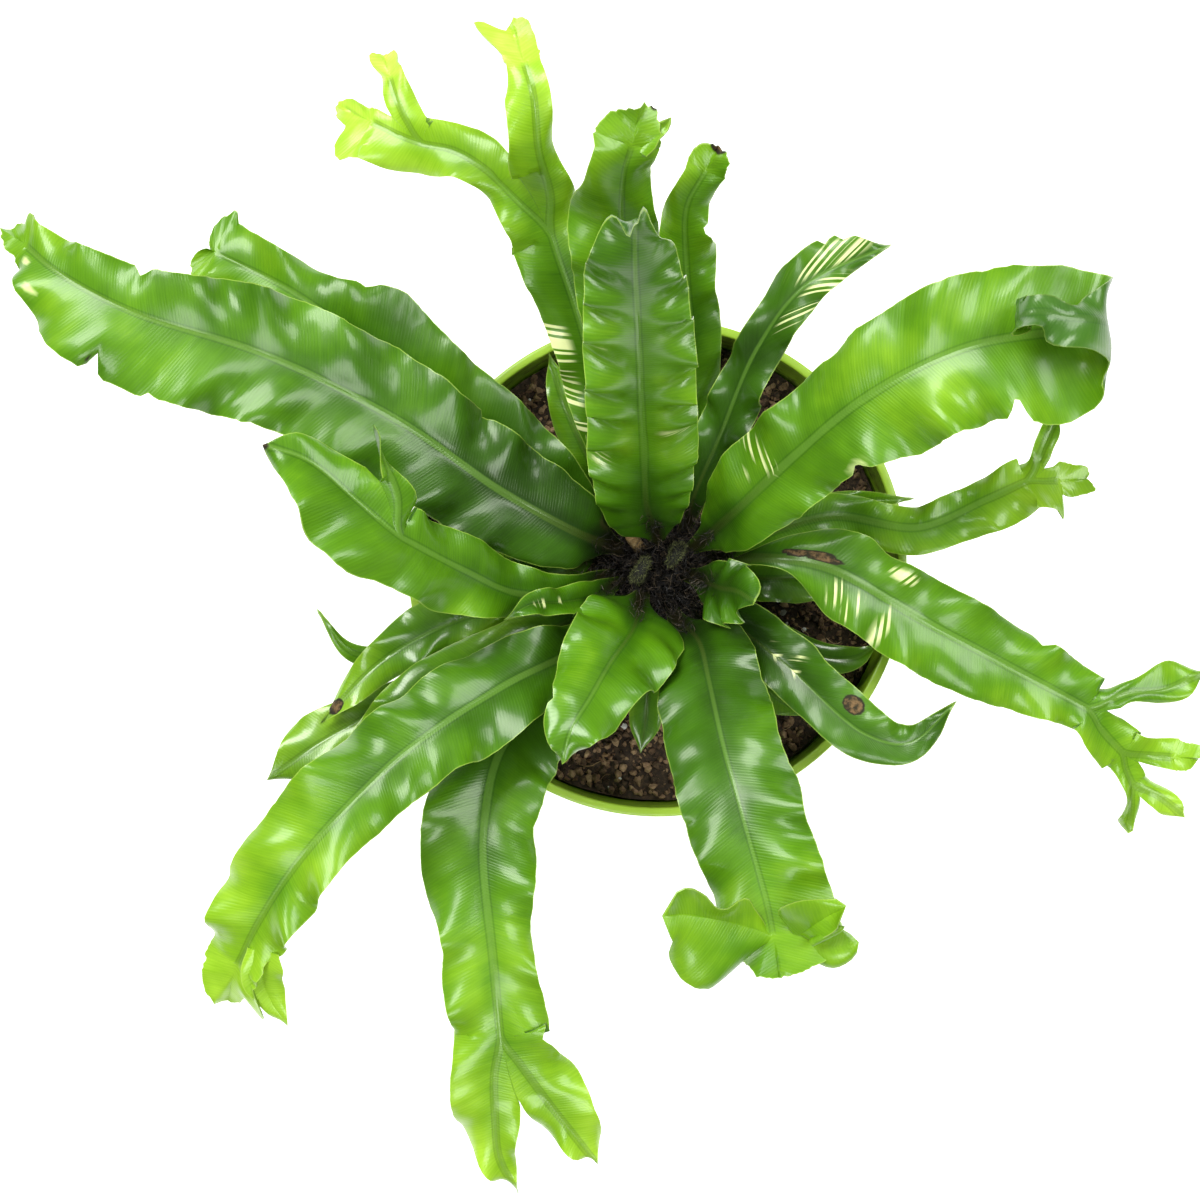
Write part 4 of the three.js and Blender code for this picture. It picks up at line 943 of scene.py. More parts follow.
LOW_FRONDS = [
    new_frond(
        "west_dark", (198, 20, 203), (12, 10), (1.2, 26, 0.5),
        [(33, -4, 133), (60, -9, 141), (90, -7, 146), (117, 4, 144)],
        [2, 3, 5, 7, 8, 8, 7, 5, 0], [2, 3, 6, 9, 10, 10, 7, 4, 0]),
    new_frond(
        "west_thin", (186, 10, 196), (12, 10), (0.6, 26, 2.5),
        [(34, 4, 119), (60, 7, 124), (82, 6, 131), (101, -1, 137), (107, -17, 142)],
        [2, 2, 3, 4, 4, 3, 0], [2, 2, 3, 4, 4, 3, 0]),
    new_frond(
        "west_under", (164, 12, 178), (12, 8), (1.2, 24, 1.5),
        [(31, 3, 125), (50, 1, 130), (66, 0, 133)],
        [2, 4, 7, 8, 6, 4, 0], [2, 4, 7, 8, 6, 4, 0]),
    new_frond(
        "southwest_under", (224, 14, 207), (12, 6), (1.4, 26, 3.5),
        [(28, 7, 123), (50, 4, 129), (90, 1, 136), (119, 1, 140), (141, 4, 138)],
        [2, 3, 5, 7, 8, 9, 10, 11, 0], [2, 3, 4, 5, 6, 7, 9, 10, 0]),
    new_frond(
        "southwest_round", (213, 30, 204), (12, 6), (1.4, 26, 4.5),
        [(28, 4, 136), (50, 5, 145), (80, 6, 153), (107, 7, 154)],
        [2, 3, 6, 9, 10, 10, 7, 0], [2, 3, 6, 9, 10, 10, 7, 0]),
    new_frond(
        "northwest_slim", (122, 12, 117), (14, 10), (0.8, 24, 0.7),
        [(40, 4, 128), (61, 3, 131), (77, 0, 135)],
        [2, 3, 5, 6, 6, 4, 0], [2, 3, 5, 6, 6, 4, 0]),
    new_frond(
        "east_slim", (28, 6, 17), (14, 10), (0.6, 24, 1.7),
        [(35, 2, 126), (58, 3, 131), (84, -3, 137)],
        [2, 3, 4, 5, 4, 3, 0], [2, 3, 4, 5, 4, 3, 0]),
    new_frond(
        "east_low", (352, 10, 357), (14, 8), (1, 22, 2.7),
        [(33, -2, 128), (52, -1, 132), (68, -2, 133)],
        [2, 4, 7, 8, 8, 5, 0], [2, 4, 7, 8, 8, 5, 0]),
    new_frond(
        "east_small", (334, 11, 338), (14, 10), (0.5, 22, 3.7),
        [(37, -3, 120), (59, -7, 124), (70, -3, 128), (75, 5, 133)],
        [2, 2, 3, 4, 5, 4, 0], [2, 2, 3, 4, 5, 4, 0]),
    new_frond(
        "southeast_dark", (306, 8, 308), (14, 10), (0.8, 22, 4.7),
        [(38, 0, 124), (55, 4, 128), (68, 9, 130)],
        [2, 3, 5, 7, 7, 5, 0], [2, 3, 5, 7, 7, 5, 0]),
    new_frond(
        "south_small", (264, 8, 262), (16, 12), (1, 18, 5.7),
        [(33, 2, 121), (49, 3, 124), (60, 3, 123)],
        [2, 3, 5, 7, 6, 5, 0], [2, 3, 5, 7, 6, 5, 0]),
]

print("fronds:", len(LONG_FRONDS), "long,", len(INNER_FRONDS), "inner,", len(LOW_FRONDS), "low")

# %% [markdown]
# ## From a course to a blade
# A smooth curve runs through the rib's points, and a row of points is laid across it about every 1.6 mm.
# The side direction is carried along the rib from row to row, so the blade can curl without a
# twist. Points sit closer beside the rib, where the midrib's ridge needs them.
#
# Across, each half rises beside the rib and bends down again towards the margin. Small steps at a
# changing angle are added up for that, and stretched so that the blade keeps its width from above.

# %% Blade sizes, in millimetres and degrees
# The distance between rows, the columns in each half, the first distances from the rib, and the steps of a
# smooth curve between two points.
ROW_STEP = 1.6
COLUMNS = 13
RIB_COLUMNS = (0.55, 1.1, 1.9)
PATH_STEPS = 16
# Half thicknesses of the blade, its margin and its rib, and the widths of the rib's ridge and of the margin.
BLADE_HALF = 0.34
MARGIN_HALF = 0.2
RIB_ROOT = 1.4
RIB_THINS = 0.95
RIB_THIN_AT = 0.85
RIDGE_WIDTH = 1.35
MARGIN_WIDTH = 1.2
NARROWEST = 0.4
# A stalk starts just off the crown's skin and is straight at first. A fork adds to a frond's length.
SEAT_GAP = 0.4
STALK_START = 6
STALK_LENGTH = 20
FORK_REACH = 60
# How a half bends: its lift beside the rib, its roll towards the margin, and how far both stray.
BLADE_LIFT = 9
BLADE_ROLL = (-38, -38)
BEND_GROWTH = 1.4
STRAY_LENGTH = 19
STRAY_SLOPE = 9
STRAY_ROLL = 34
STRAY_FULL = 60
LOBE_STRAY = 0.3
FOLD_SHARE = 0.15
# The margin's waves: a depth as a share of the width, a length, and a layer of the noise.
MARGIN_WAVES = ((0.035, 7, 0), (0.02, 2.6, 4))
# The distance to a margin that a rib or a seam counts as, and the way over which ripples come back.
FAR_FROM_MARGIN = 9.0
RIPPLES_BACK = 14
print("a row every", ROW_STEP, "mm, with", 2 * COLUMNS + 1, "points")

# %% Rib curve
def in_plane(heading, point):
    """A point of reach, sway to the left and height, turned to its heading."""
    a = math.radians(heading)
    reach, sway, height = point
    return np.array((reach * math.cos(a) - sway * math.sin(a), reach * math.sin(a) + sway * math.cos(a),
                     height), float)


def crown_seat(azimuth, rise):
    """The point just off the crown's skin at two angles, and the direction out of the skin, in mm."""
    a, r = math.radians(azimuth), math.radians(rise)
    out = np.array((math.cos(r) * math.cos(a), math.cos(r) * math.sin(a), math.sin(r)))
    radii = np.array((CROWN_RADIUS, CROWN_RADIUS, CROWN_RISE)) / MM
    normal = out / radii
    normal /= np.linalg.norm(normal)
    return out * radii + (0, 0, SOIL_LEVEL / MM) + normal * SEAT_GAP, normal


def smooth_path(points, first):
    """Close points on a smooth curve through the points, from the one numbered first, and their distances."""
    points = [2 * points[0] - points[1], *points, 2 * points[-1] - points[-2]]
    trail = []
    for i in range(first, len(points) - 3):
        p0, p1, p2, p3 = points[i:i + 4]
        d0, d1, d2 = (np.linalg.norm(b - a) ** 0.5 for a, b in ((p0, p1), (p1, p2), (p2, p3)))
        t1 = ((p1 - p0) / d0 - (p2 - p0) / (d0 + d1) + (p2 - p1) / d1) * d1
        t2 = ((p2 - p1) / d1 - (p3 - p1) / (d1 + d2) + (p3 - p2) / d2) * d1
        last = i == len(points) - 4
        for t in np.linspace(0, 1, PATH_STEPS + 1)[:None if last else -1]:
            trail.append(p1 + t1 * t + (3 * (p2 - p1) - 2 * t1 - t2) * t * t
                         + (t1 + t2 - 2 * (p2 - p1)) * t ** 3)
    trail = np.array(trail)
    marks = np.concatenate([[0], np.cumsum(np.linalg.norm(np.diff(trail, axis=0), axis=1))])
    return trail, marks


def point_at(path, distance):
    trail, marks = path
    return np.array([np.interp(distance, marks, trail[:, k]) for k in range(3)])


path = smooth_path([np.array(p, float) for p in ((0, 0, 0), (10, 0, 5), (20, 5, 5))], 0)
print("a test path is", round(float(path[1][-1]), 1), "mm long")

# %% Widths and soft steps
def station(values, share):
    """The value at a share of the way through evenly spaced stations, on a smooth curve."""
    x = min(max(share, 0), 1) * (len(values) - 1)
    i = min(int(x), len(values) - 2)
    t = x - i
    slope_a = (values[i + 1] - values[max(i - 1, 0)]) / 2
    slope_b = (values[min(i + 2, len(values) - 1)] - values[i]) / 2
    rise = values[i + 1] - values[i]
    value = (values[i] + slope_a * t + (3 * rise - 2 * slope_a - slope_b) * t * t
             + (slope_a + slope_b - 2 * rise) * t ** 3)
    return max(NARROWEST, value)


def soft(value, start, end):
    """0 before start, 1 after end and smooth between. Start may be above end."""
    t = min(max((value - start) / (end - start), 0.0), 1.0)
    return t * t * (3 - 2 * t)


print("half way between 4 and 8:", station([2, 4, 8, 10], 0.5))

# %% The sheet
class Blade:
    """A thin sheet with what is known at each point, which is thickened into a closed shell at the end."""

    def __init__(self, frond):
        self.frond = frond
        self.places, self.facts, self.faces, self.known = [], [], [], {}
        self.ribbed = 1.0

    def point(self, place, half, along, reach, edge, gain, facing):
        key = tuple(np.round(place, 3))
        if key not in self.known:
            self.known[key] = len(self.places)
            self.places.append(place)
            self.facts.append((half, along, reach, edge, gain, *facing, self.ribbed))
        return self.known[key]

    def strip(self, row, following, is_left):
        for j in range(len(row) - 1):
            a, b, c, d = row[j], following[j], following[j + 1], row[j + 1]
            corners = [a, b, c, d] if is_left else [a, d, c, b]
            corners = [v for k, v in enumerate(corners) if v != corners[k - 1]]
            if len(set(corners)) > 2:
                self.faces.append(corners)


print("each point of a sheet keeps its place and nine numbers")

# %% Rows along a limb
def limb_rows(frond, limb, before, first, along, side):
    """The rows of one limb: a place on its rib, the directions to the left and out of the blade."""
    points = before + [in_plane(frond["heading"], p) for p in limb["rib"]]
    path = smooth_path(points, first)
    length = path[1][-1]
    count = max(4, round(length / ROW_STEP))
    rows, left = [], side
    for i in range(count + 1):
        here = length * i / count
        tangent = point_at(path, min(here + 1, length)) - point_at(path, max(here - 1, 0))
        tangent /= np.linalg.norm(tangent)
        left = left - tangent * left.dot(tangent)
        left = left / np.linalg.norm(left)
        rows.append({"rib": point_at(path, here), "left": left, "face": np.cross(tangent, left),
                     "share": i / count, "along": along + here, "limb": limb})
    return {"limb": limb, "rows": rows, "points": points, "length": length, "left": left}


def rib_half(frond, along):
    return RIB_ROOT - RIB_THINS * soft(along, 0, RIB_THIN_AT * frond["length"])


def columns_for(width):
    """Distances from the rib to the margin: close beside the rib and even after it."""
    near = [min(r, width * (k + 1) / COLUMNS) for k, r in enumerate(RIB_COLUMNS)]
    rest = COLUMNS - len(near)
    return near + [near[-1] + (width - near[-1]) * (k + 1) / rest for k in range(rest)]


def half_thickness(frond, along, reach, edge):
    """Half the blade's thickness: a ridge on the rib, a thicker stalk and a thin margin."""
    ridge = math.exp(-(reach / RIDGE_WIDTH) ** 2)
    thin = BLADE_HALF + (1.0 - BLADE_HALF) * soft(along, STALK_LENGTH, 0)
    margin = MARGIN_HALF + (thin - MARGIN_HALF) * soft(edge, 0, MARGIN_WIDTH)
    return margin + (rib_half(frond, along) - thin) * ridge


def uneven(frond, side, along):
    """The margin's small waves, nicks and teeth, as a share of the blade's width."""
    seed = frond["azimuth"] * 0.37 + side * 5
    keep = 1 + sum(depth * noise.noise(Vector((along / length, seed, layer)))
                   for depth, length, layer in MARGIN_WAVES)
    for cut_side, place, reach, depth in frond.get("nicks", ()):
        if cut_side == side:
            keep -= depth * max(0, 1 - abs(along - place) / reach)
    return keep


print("a 20 mm half has columns at", [round(c, 1) for c in columns_for(20)])

# %% Points across a row
def bends(frond, row, sign):
    """The half's slope beside the rib and how much more it bends towards the margin, in radians."""
    lobe = row["limb"] if "roll" in row["limb"] else None
    share = row["share"] if lobe else row["along"] / frond["length"]
    lift, calm = (0, LOBE_STRAY) if lobe else (BLADE_LIFT, 1.0)
    start, end = (lobe or frond)["trough"]
    left_roll, right_roll = (lobe or frond).get("roll", BLADE_ROLL)
    spot = Vector((row["along"] / STRAY_LENGTH, sign * 3 + frond["azimuth"], 2))
    stray = noise.noise(spot) * calm * soft(row["along"], STALK_LENGTH, STRAY_FULL)
    slope = start + (end - start) * share + lift + STRAY_SLOPE * stray
    roll = (left_roll if sign > 0 else right_roll) - STRAY_ROLL * noise.noise(spot * 1.7) * calm
    flat = 1.0
    if "flat_from" in frond:
        flat = soft(share, frond["flat_from"] + FOLD_SHARE, frond["flat_from"])
    return math.radians(slope) * flat, math.radians(roll) * flat


def half_row(blade, frond, row, width, sign):
    """The points of one half's row, bent across and as wide from above as the record says."""
    slope, roll = bends(frond, row, sign)
    width = width * uneven(frond, sign, row["along"])
    reaches = np.array([0.0] + columns_for(width))
    angles = slope + roll * (reaches[1:] / width) ** BEND_GROWTH
    across = np.cumsum(np.cos(angles) * np.diff(reaches))
    upward = np.cumsum(np.sin(angles) * np.diff(reaches))
    if "roll" not in row["limb"]:
        spread = width * math.cos(slope) / across[-1]
        across, upward = across * spread, upward * spread
    indices = [rib_point(blade, frond, row)]
    for reach, out, up in zip(reaches[1:], across, upward):
        gain = (reach / width) ** 2 * row.get("calm", 1.0)
        indices.append(blade.point(
            row["rib"] + row["left"] * (sign * out) + row["face"] * up,
            half_thickness(frond, row["along"], reach, width - reach),
            row["along"], sign * reach, width - reach, gain, row["face"]))
    return indices


def rib_point(blade, frond, row):
    return blade.point(row["rib"], rib_half(frond, row["along"]), row["along"], 0.0, FAR_FROM_MARGIN, 0.0,
                       row["face"])


def seam_row(blade, frond, row, seam, sign):
    """The inner half of a forked limb's row, which ends on the seam between the two limbs."""
    span = np.linalg.norm(seam - row["rib"])
    indices = [rib_point(blade, frond, row)]
    for reach in columns_for(span):
        place = row["rib"] + (seam - row["rib"]) * (reach / span)
        indices.append(blade.point(
            place, half_thickness(frond, row["along"], reach, FAR_FROM_MARGIN), row["along"],
            sign * reach, FAR_FROM_MARGIN, 0.0, row["face"]))
    return indices


print("a blade bends by", BLADE_ROLL[0], "degrees more at its margin than beside its rib")

# %% [markdown]
# ## Crests, forks and whole fronds
# A crest is laid like a fan, from the limb's last row round to straight ahead. Where a limb forks, the two
# new ribs start as one and their blades meet on a seam, until each limb is narrower than the gap between
# the ribs. Then both get a margin of their own, and the ripples come back little by little.

# %% Crests
FAN_STEPS = 22
FAN_UNEVEN = 0.09
FAN_RIPPLE = 0.6


def lay_fan(blade, frond, fan, row, is_left, start):
    """One half of a crest, laid from the limb's last row round to straight ahead."""
    sign = 1 if is_left else -1
    radii = (fan["left"] if is_left else fan["right"]) + [fan["ahead"]]
    longest = max(fan["left"] + fan["right"])
    tangent = np.cross(row["left"], row["face"])
    last, blade.ribbed = start, 0.0
    for k in range(FAN_STEPS + 1):
        share = k / FAN_STEPS
        angle = math.radians(fan["start"]) * (1 - share)
        radius = station(radii, share)
        if 0 < k < FAN_STEPS:
            radius *= 1 + FAN_UNEVEN * noise.noise(Vector((share * 12, sign, frond["azimuth"])))
        out = tangent * math.cos(angle) + row["left"] * (sign * math.sin(angle))
        following = [rib_point(blade, frond, row)]
        for reach in columns_for(radius):
            lift = fan["lift"] * (reach / radius) ** 2 * (radius / longest) ** 2
            following.append(blade.point(
                row["rib"] + out * reach + row["face"] * lift, BLADE_HALF,
                row["along"] + reach * math.cos(angle), sign * reach * math.sin(angle), radius - reach,
                FAN_RIPPLE * (reach / radius) ** 2, row["face"]))
        blade.strip(last, following, is_left)
        last = following
    blade.ribbed = 1.0
    return last


print("a crest has", FAN_STEPS, "steps in each half")

# %% One half of a limb
def lay_half(blade, frond, grown, is_left, start, partner):
    """Lays one half of a limb and gives back its last row."""
    limb, rows = grown["limb"], grown["rows"]
    widths, sign = (limb["left"], 1) if is_left else (limb["right"], -1)
    last, joined, parted = start, partner is not None, 0.0
    end = len(rows) - 1 if "fan" in limb else len(rows)
    for i in range(1 if start else 0, end):
        row = rows[i]
        width = station(widths, row["share"])
        if joined and i > 0:
            other = partner["rows"][min(i, len(partner["rows"]) - 1)]
            spread = np.linalg.norm(row["rib"] - other["rib"])
            facing = station(partner["limb"]["right" if is_left else "left"], other["share"])
            joined = i < len(rows) - 1 and i < len(partner["rows"]) - 1 and width + facing > spread
            parted = row["along"]
            seam = row["rib"] + (other["rib"] - row["rib"]) * (width / (width + facing))
        row["calm"] = soft(row["along"], parted, parted + RIPPLES_BACK) if partner else limb.get("calm", 1.0)
        if i == len(rows) - 1 and "fork" not in limb:
            tip = blade.point(row["rib"], MARGIN_HALF, row["along"], 0.0, 0.0, 0.0, row["face"])
            following = [tip] * (COLUMNS + 1)
        elif joined:
            following = seam_row(blade, frond, row, seam, sign)
        else:
            following = half_row(blade, frond, row, width, sign)
        if last:
            blade.strip(last, following, is_left)
        last = following
    return lay_fan(blade, frond, limb["fan"], rows[end], is_left, last) if "fan" in limb else last


print("a limb is laid in two halves")

# %% Forks and whole fronds
def grow_fork(blade, frond, limbs, trunk, along, starts):
    """Lays both limbs of a fork, which share a seam until they are wide enough apart."""
    first = len(trunk["points"]) - 1
    grown = [limb_rows(frond, limb, trunk["points"], first, along, trunk["left"]) for limb in limbs]
    hub = [starts[0][0]] * (COLUMNS + 1)
    for k, part in enumerate(grown):
        other = grown[1 - k]
        last_left = lay_half(blade, frond, part, True, hub if k else starts[0], other if k else None)
        last_right = lay_half(blade, frond, part, False, starts[1] if k else hub, None if k else other)
        if "fork" in part["limb"]:
            grow_fork(blade, frond, part["limb"]["fork"], part, along + part["length"],
                      (last_left, last_right))


def lay_frond(frond):
    """The whole sheet of a frond: its trunk from the crown, its forks and its crest's lobes."""
    seat, normal = crown_seat(frond["azimuth"], frond["rise"])
    stalk = [seat, seat + normal * STALK_START]
    trunk = limb_rows(frond, frond, stalk, 0, 0.0, in_plane(frond["heading"], (0, 1, 0)))
    frond["length"] = trunk["length"] + (FORK_REACH if "fork" in frond else 0)
    blade = Blade(frond)
    last_left = lay_half(blade, frond, trunk, True, None, None)
    last_right = lay_half(blade, frond, trunk, False, None, None)
    if "fork" in frond:
        grow_fork(blade, frond, frond["fork"], trunk, trunk["length"], (last_left, last_right))
    for lobe in frond.get("lobes", ()):
        start, following = (in_plane(frond["heading"], p) for p in lobe["rib"][:2])
        side = np.cross((0, 0, 1), following - start)
        blade.ribbed = 0.0
        grown = limb_rows(frond, lobe, [], 0, trunk["length"], side / np.linalg.norm(side))
        lay_half(blade, frond, grown, True, None, None)
        lay_half(blade, frond, grown, False, None, None)
        blade.ribbed = 1.0
    return blade


sample = lay_frond(LONG_FRONDS[0])
print("west_long's sheet:", len(sample.places), "points,", round(sample.frond["length"]), "mm long")

# %% [markdown]
# ## Tones and marks
# Each frond has its own tone at its root, its middle and its tip, from 0 for the darkest green to 1 for the
# yellowest. A mark is an ellipse on the blade: its middle and half length along the frond, its middle and
# half width across it, left being positive, and its strength. A nick has a side, a place, a half length and
# a depth as a share of the blade's width.

# %% Tones and marks
TONES = {
    "west_long": (0.13, 0.43, 0.6), "west_back": (0.26, 0.42, 0.56),
    "west_lobed": (0.36, 0.54, 0.62), "southwest_long": (0.34, 0.45, 0.8),
    "south_forked": (0.34, 0.52, 0.9), "south_curled": (0.26, 0.36, 0.63),
    "east_forked": (0.42, 0.56, 0.78), "east_mid": (0.52, 0.66, 0.7),
    "northeast_big": (0.52, 0.54, 0.58), "northeast_narrow": (0.22, 0.34, 0.46),
    "north_right": (0.36, 0.52, 0.6), "north_curled": (0.34, 0.48, 0.6),
    "north_forked": (0.3, 0.52, 0.86), "southeast": (0.24, 0.4, 0.46),
    "inner_north": (0.38, 0.6, 0.42), "inner_southwest": (0.33, 0.5, 0.52),
    "inner_east": (0.32, 0.44, 0.44), "inner_west": (0.36, 0.5, 0.56),
}
LOW_TONE = (0.36, 0.54, 0.62)
MARKS = {
    "north_forked": {"cream": [(77, 12, 10, 5, 1), (59, 12, 10.3, 5, 1), (46, 9, 8.5, 4.3, 1),
                               (88, 3, -6, 2.4, 0.7)]},
    "inner_north": {"cream": [(77, 2.9, -12.4, 6.9, 0.9), (121, 2.2, 11.8, 2.2, 0.7),
                              (61, 1.8, 13.3, 3, 0.7)]},
    "northeast_big": {"cream": [(64, 2.7, 8.9, 9, 1), (55, 1.5, 8.7, 4.2, 0.6)],
                      "pale": [(90, 4, -16.4, 2, 0.7)],
                      "nicks": [(-1, 90, 4.5, 0.2), (-1, 146, 3.5, 0.3)]},
    "northeast_narrow": {"cream": [(116, 12, -4.5, 3, 1), (124, 12, 4, 3.2, 1), (104, 9, -4, 2.4, 0.8)],
                         "nicks": [(1, 124, 2, 0.25), (1, 129, 2, 0.25)]},
    "east_forked": {"cream": [(64, 2.8, -6.7, 4.3, 1), (71, 2.5, -8.2, 4.9, 1), (82, 1.8, -9.9, 8, 1),
                              (80, 4.9, 8.8, 2.1, 1)],
                    "brown": [(56, 6.8, 3, 1.5, 1), (48, 4.3, 2.7, 1.1, 1)], "nicks": [(1, 130, 3, 0.15)]},
    "southeast": {"cream": [(45, 2.5, 1.1, 3.1, 0.9), (53, 2.2, 0.6, 3.7, 0.9), (53, 1.5, 6.3, 2.8, 0.8)],
                  "brown": [(75, 4, 6.1, 3.1, 1)]},
    "inner_west": {"cream": [(55, 3, 0.4, 2.4, 1), (44, 2.4, -0.9, 2.4, 1)]},
    "north_right": {"brown": [(145, 6, 0, 3.5, 1)], "nicks": [(-1, 113, 2.5, 0.3)]},
    "north_curled": {"brown": [(168, 6, -4, 3, 1)]},
    "west_lobed": {"brown": [(158, 5, 0, 2.5, 1)]},
    "west_long": {"brown": [(191, 1.7, 18.5, 2.9, 0.8)],
                  "pale": [(224, 1.5, 3.7, 1.2, 1), (216, 1.4, 9.5, 1.2, 1)],
                  "nicks": [(-1, 189, 3.5, 0.22), (1, 191, 2, 0.3), (1, 176, 1.5, 0.1), (-1, 83, 2, 0.1)]},
    "west_back": {"nicks": [(-1, 126, 3, 0.12)]},
    "west_dark": {"brown": [(108, 3, 0, 2, 1)]},
    "southwest_long": {"nicks": [(1, 186, 3, 0.2)]},
    "south_forked": {"nicks": [(1, 172, 3, 0.15)]},
    "inner_southwest": {"nicks": [(-1, 72, 2, 0.15)]},
}
for frond in LONG_FRONDS + INNER_FRONDS + LOW_FRONDS:
    frond.update(MARKS.get(frond["name"], {}))
print("tones for", len(TONES), "fronds, marks on", len(MARKS))

# %% [markdown]
# ## From a sheet to a closed shell
# The sheet is copied to both sides along its normals, the lower copy is turned over and a rim joins the
# two. Each point keeps what the finish and the relief need: its distance along the frond, its reach from
# the rib, its distance to the margin, and marks such as cream stripes or browned tissue.

# %% Shell
DEFAULT_SLANT = 0.45
PAINTED_RIB = (1.75, 1.15)
LONG_ENOUGH = 210


def mark_at(marks, along, reach):
    """How strongly the marks of one kind cover a place on the blade."""
    cover = 0.0
    for along_mid, along_half, reach_mid, reach_half, strength in marks:
        distance = math.hypot((along - along_mid) / along_half, (reach - reach_mid) / reach_half)
        cover = max(cover, strength * soft(distance, 1.25, 0.7))
    return cover


def store(mesh, title, row):
    """Keeps a number for each point of the mesh, where the tree and the finish find it."""
    mesh.attributes.new(title, "FLOAT", "POINT").data.foreach_set("value", row.astype(np.float32))


def shell_mesh(blade, name):
    frond = blade.frond
    places = np.array(blade.places)
    facts = np.array(blade.facts)
    normals = np.zeros_like(places)
    edges = set()
    for face in blade.faces:
        corners = places[face]
        across = np.cross(corners[2] - corners[0], corners[-1] - corners[1])
        for i, following in zip(face, face[1:] + face[:1]):
            normals[i] += across
            edges.add((i, following))
    normals /= np.maximum(np.linalg.norm(normals, axis=1, keepdims=True), 1e-9)
    count = len(places)
    points = np.concatenate([places + normals * facts[:, :1], places - normals * facts[:, :1]])
    faces = [list(f) for f in blade.faces] + [[i + count for i in reversed(f)] for f in blade.faces]
    faces += [[j, i, i + count, j + count] for i, j in edges if (j, i) not in edges]
    mesh = mesh_from(name, points * MM, faces)
    root, middle, tip = TONES.get(frond["name"], LOW_TONE)
    share = np.clip(facts[:, 1] / frond["length"], 0, 1)
    tone = (root + (middle - root) * np.clip(share / 0.5, 0, 1)
            + (tip - middle) * np.clip((share - 0.5) / 0.5, 0, 1) ** 1.3)
    extra = {kind: np.array([mark_at(frond.get(kind, ()), a, r) for a, r in facts[:, 1:3]])
             for kind in ("cream", "brown", "pale")}
    at_root, lost = PAINTED_RIB
    painted_rib = (at_root - lost * share) * np.clip(frond["length"] / LONG_ENOUGH, 0.6, 1.0)
    values = {"along": facts[:, 1], "reach": facts[:, 2], "edge": facts[:, 3], "gain": facts[:, 4],
              "tone": tone, "ribbed": facts[:, 8], "rib": painted_rib, **extra,
              "slant": np.full(count, frond.get("slant", DEFAULT_SLANT))}
    for title, row in values.items():
        store(mesh, title, np.tile(row, 2))
    store(mesh, "under", np.repeat([0.0, 1.0], count))
    facing = mesh.attributes.new("facing", "FLOAT_VECTOR", "POINT")
    facing.data.foreach_set("vector", np.tile(facts[:, 5:8], (2, 1)).ravel().astype(np.float32))
    return mesh


sample_mesh = shell_mesh(sample, "sample")
print("west_long's shell:", len(sample_mesh.polygons), "faces")
bpy.data.meshes.remove(sample_mesh)

# %% [markdown]
# ## Ripples and veins
# A real blade is never flat. Broad waves slant from the rib to the margin and grow on the way, and on top
# of them fine parallel veins raise the skin. Both follow the blade's own coordinates, so one tree moves
# every point along the direction that its row faces. The depths and lengths are the frond's own. A sine
# gives the waves their beat, a second one makes them stray from it, and two noises let them rise, die down
# and blister.

# %% Relief tree
RIPPLE_SLANT = 0.5
net, given = new_tree("blade relief", Ripple_Depth=2.0, Ripple_Length=26.0, Phase=0.0, Full_From=60.0,
                      Second_Share=0.45, Crumple=0.22, Vein_Pitch=2.9, Vein_Depth=0.01)


def known(title, kind="FLOAT"):
    return net.node("GeometryNodeInputNamedAttribute", {"data_type": kind}, {"Name": title}, "Attribute")


along, reach, gain = known("along"), known("reach"), known("gain")
side = net.node("ShaderNodeMath", {"operation": "SIGN"}, {0: reach})
run = along - abs(reach) * RIPPLE_SLANT
turn = run * TAU / given["Ripple Length"]
stray = (turn / 2.7 + given["Phase"]).sin() * 0.9
beat = net.noise(net.vector(run * 0.021, side * 3.0, given["Phase"]), 1.0, 1.0, 0.5)
wave = (turn + given["Phase"] + stray + side * 1.3).sin() * (beat * 1.5 + 0.25)
blister = net.noise(net.vector(run * 0.1, reach * 0.014, given["Phase"]), 1.0, 1.0, 0.5)
second = (blister - 0.5) * 5.0
growth = along.step(STALK_LENGTH, given["Full From"])
place = net.node("GeometryNodeInputPosition")
crumple = net.noise(place, 75.0, 2.0, 0.5) - 0.5
lift = given["Ripple Depth"] * growth * (
    gain.power(0.85) * wave * 1.4 + gain.power(0.6) * second * given["Second Share"])
lift = lift + crumple * given["Crumple"] * gain.at_most(1.0) * 6.0
vein = ((along - abs(reach) * DEFAULT_SLANT) * TAU / given["Vein Pitch"] + stray).sin()
lift = lift + vein * given["Vein Depth"] * abs(reach).step(0.8, 3.0) * growth
offset = net.scaled(known("facing", "FLOAT_VECTOR"), lift * MM)
moved = net.node("GeometryNodeSetPosition", None, {"Geometry": given["Geometry"], "Offset": offset})
close_tree(net, moved, given["Material"])
relief_tree = net.tree
print("relief tree:", len(relief_tree.nodes), "nodes")

# %% [markdown]
# ## The leaf's finish
# A blade is glossy green with a darker root and a yellower tip, a thin pale margin, a pale rib that turns
# brown near the crown, and fine veins that slant to the margin. A dark band beside the rib's ridge is
# painted shade, and undersides have their own green, painted darker as painted shade for the curls and
# folds where they show. Cream stripes follow the veins, and old tissue is brown with a dark core. All of it
# is painted in the blade's own coordinates, so the pattern bends with the blade. The waxy sheen is a coat
# over the green, and brown tissue has almost none of it.

# %% Leaf finish
GREENS = [(0.0, screen(20, 38, 8)), (0.2, screen(36, 68, 8)), (0.4, screen(58, 104, 8)),
          (0.55, screen(86, 138, 12)), (0.7, screen(126, 174, 24)), (0.85, screen(166, 210, 54)),
          (1.0, screen(206, 238, 96))]
FINE_VEIN = 0.95


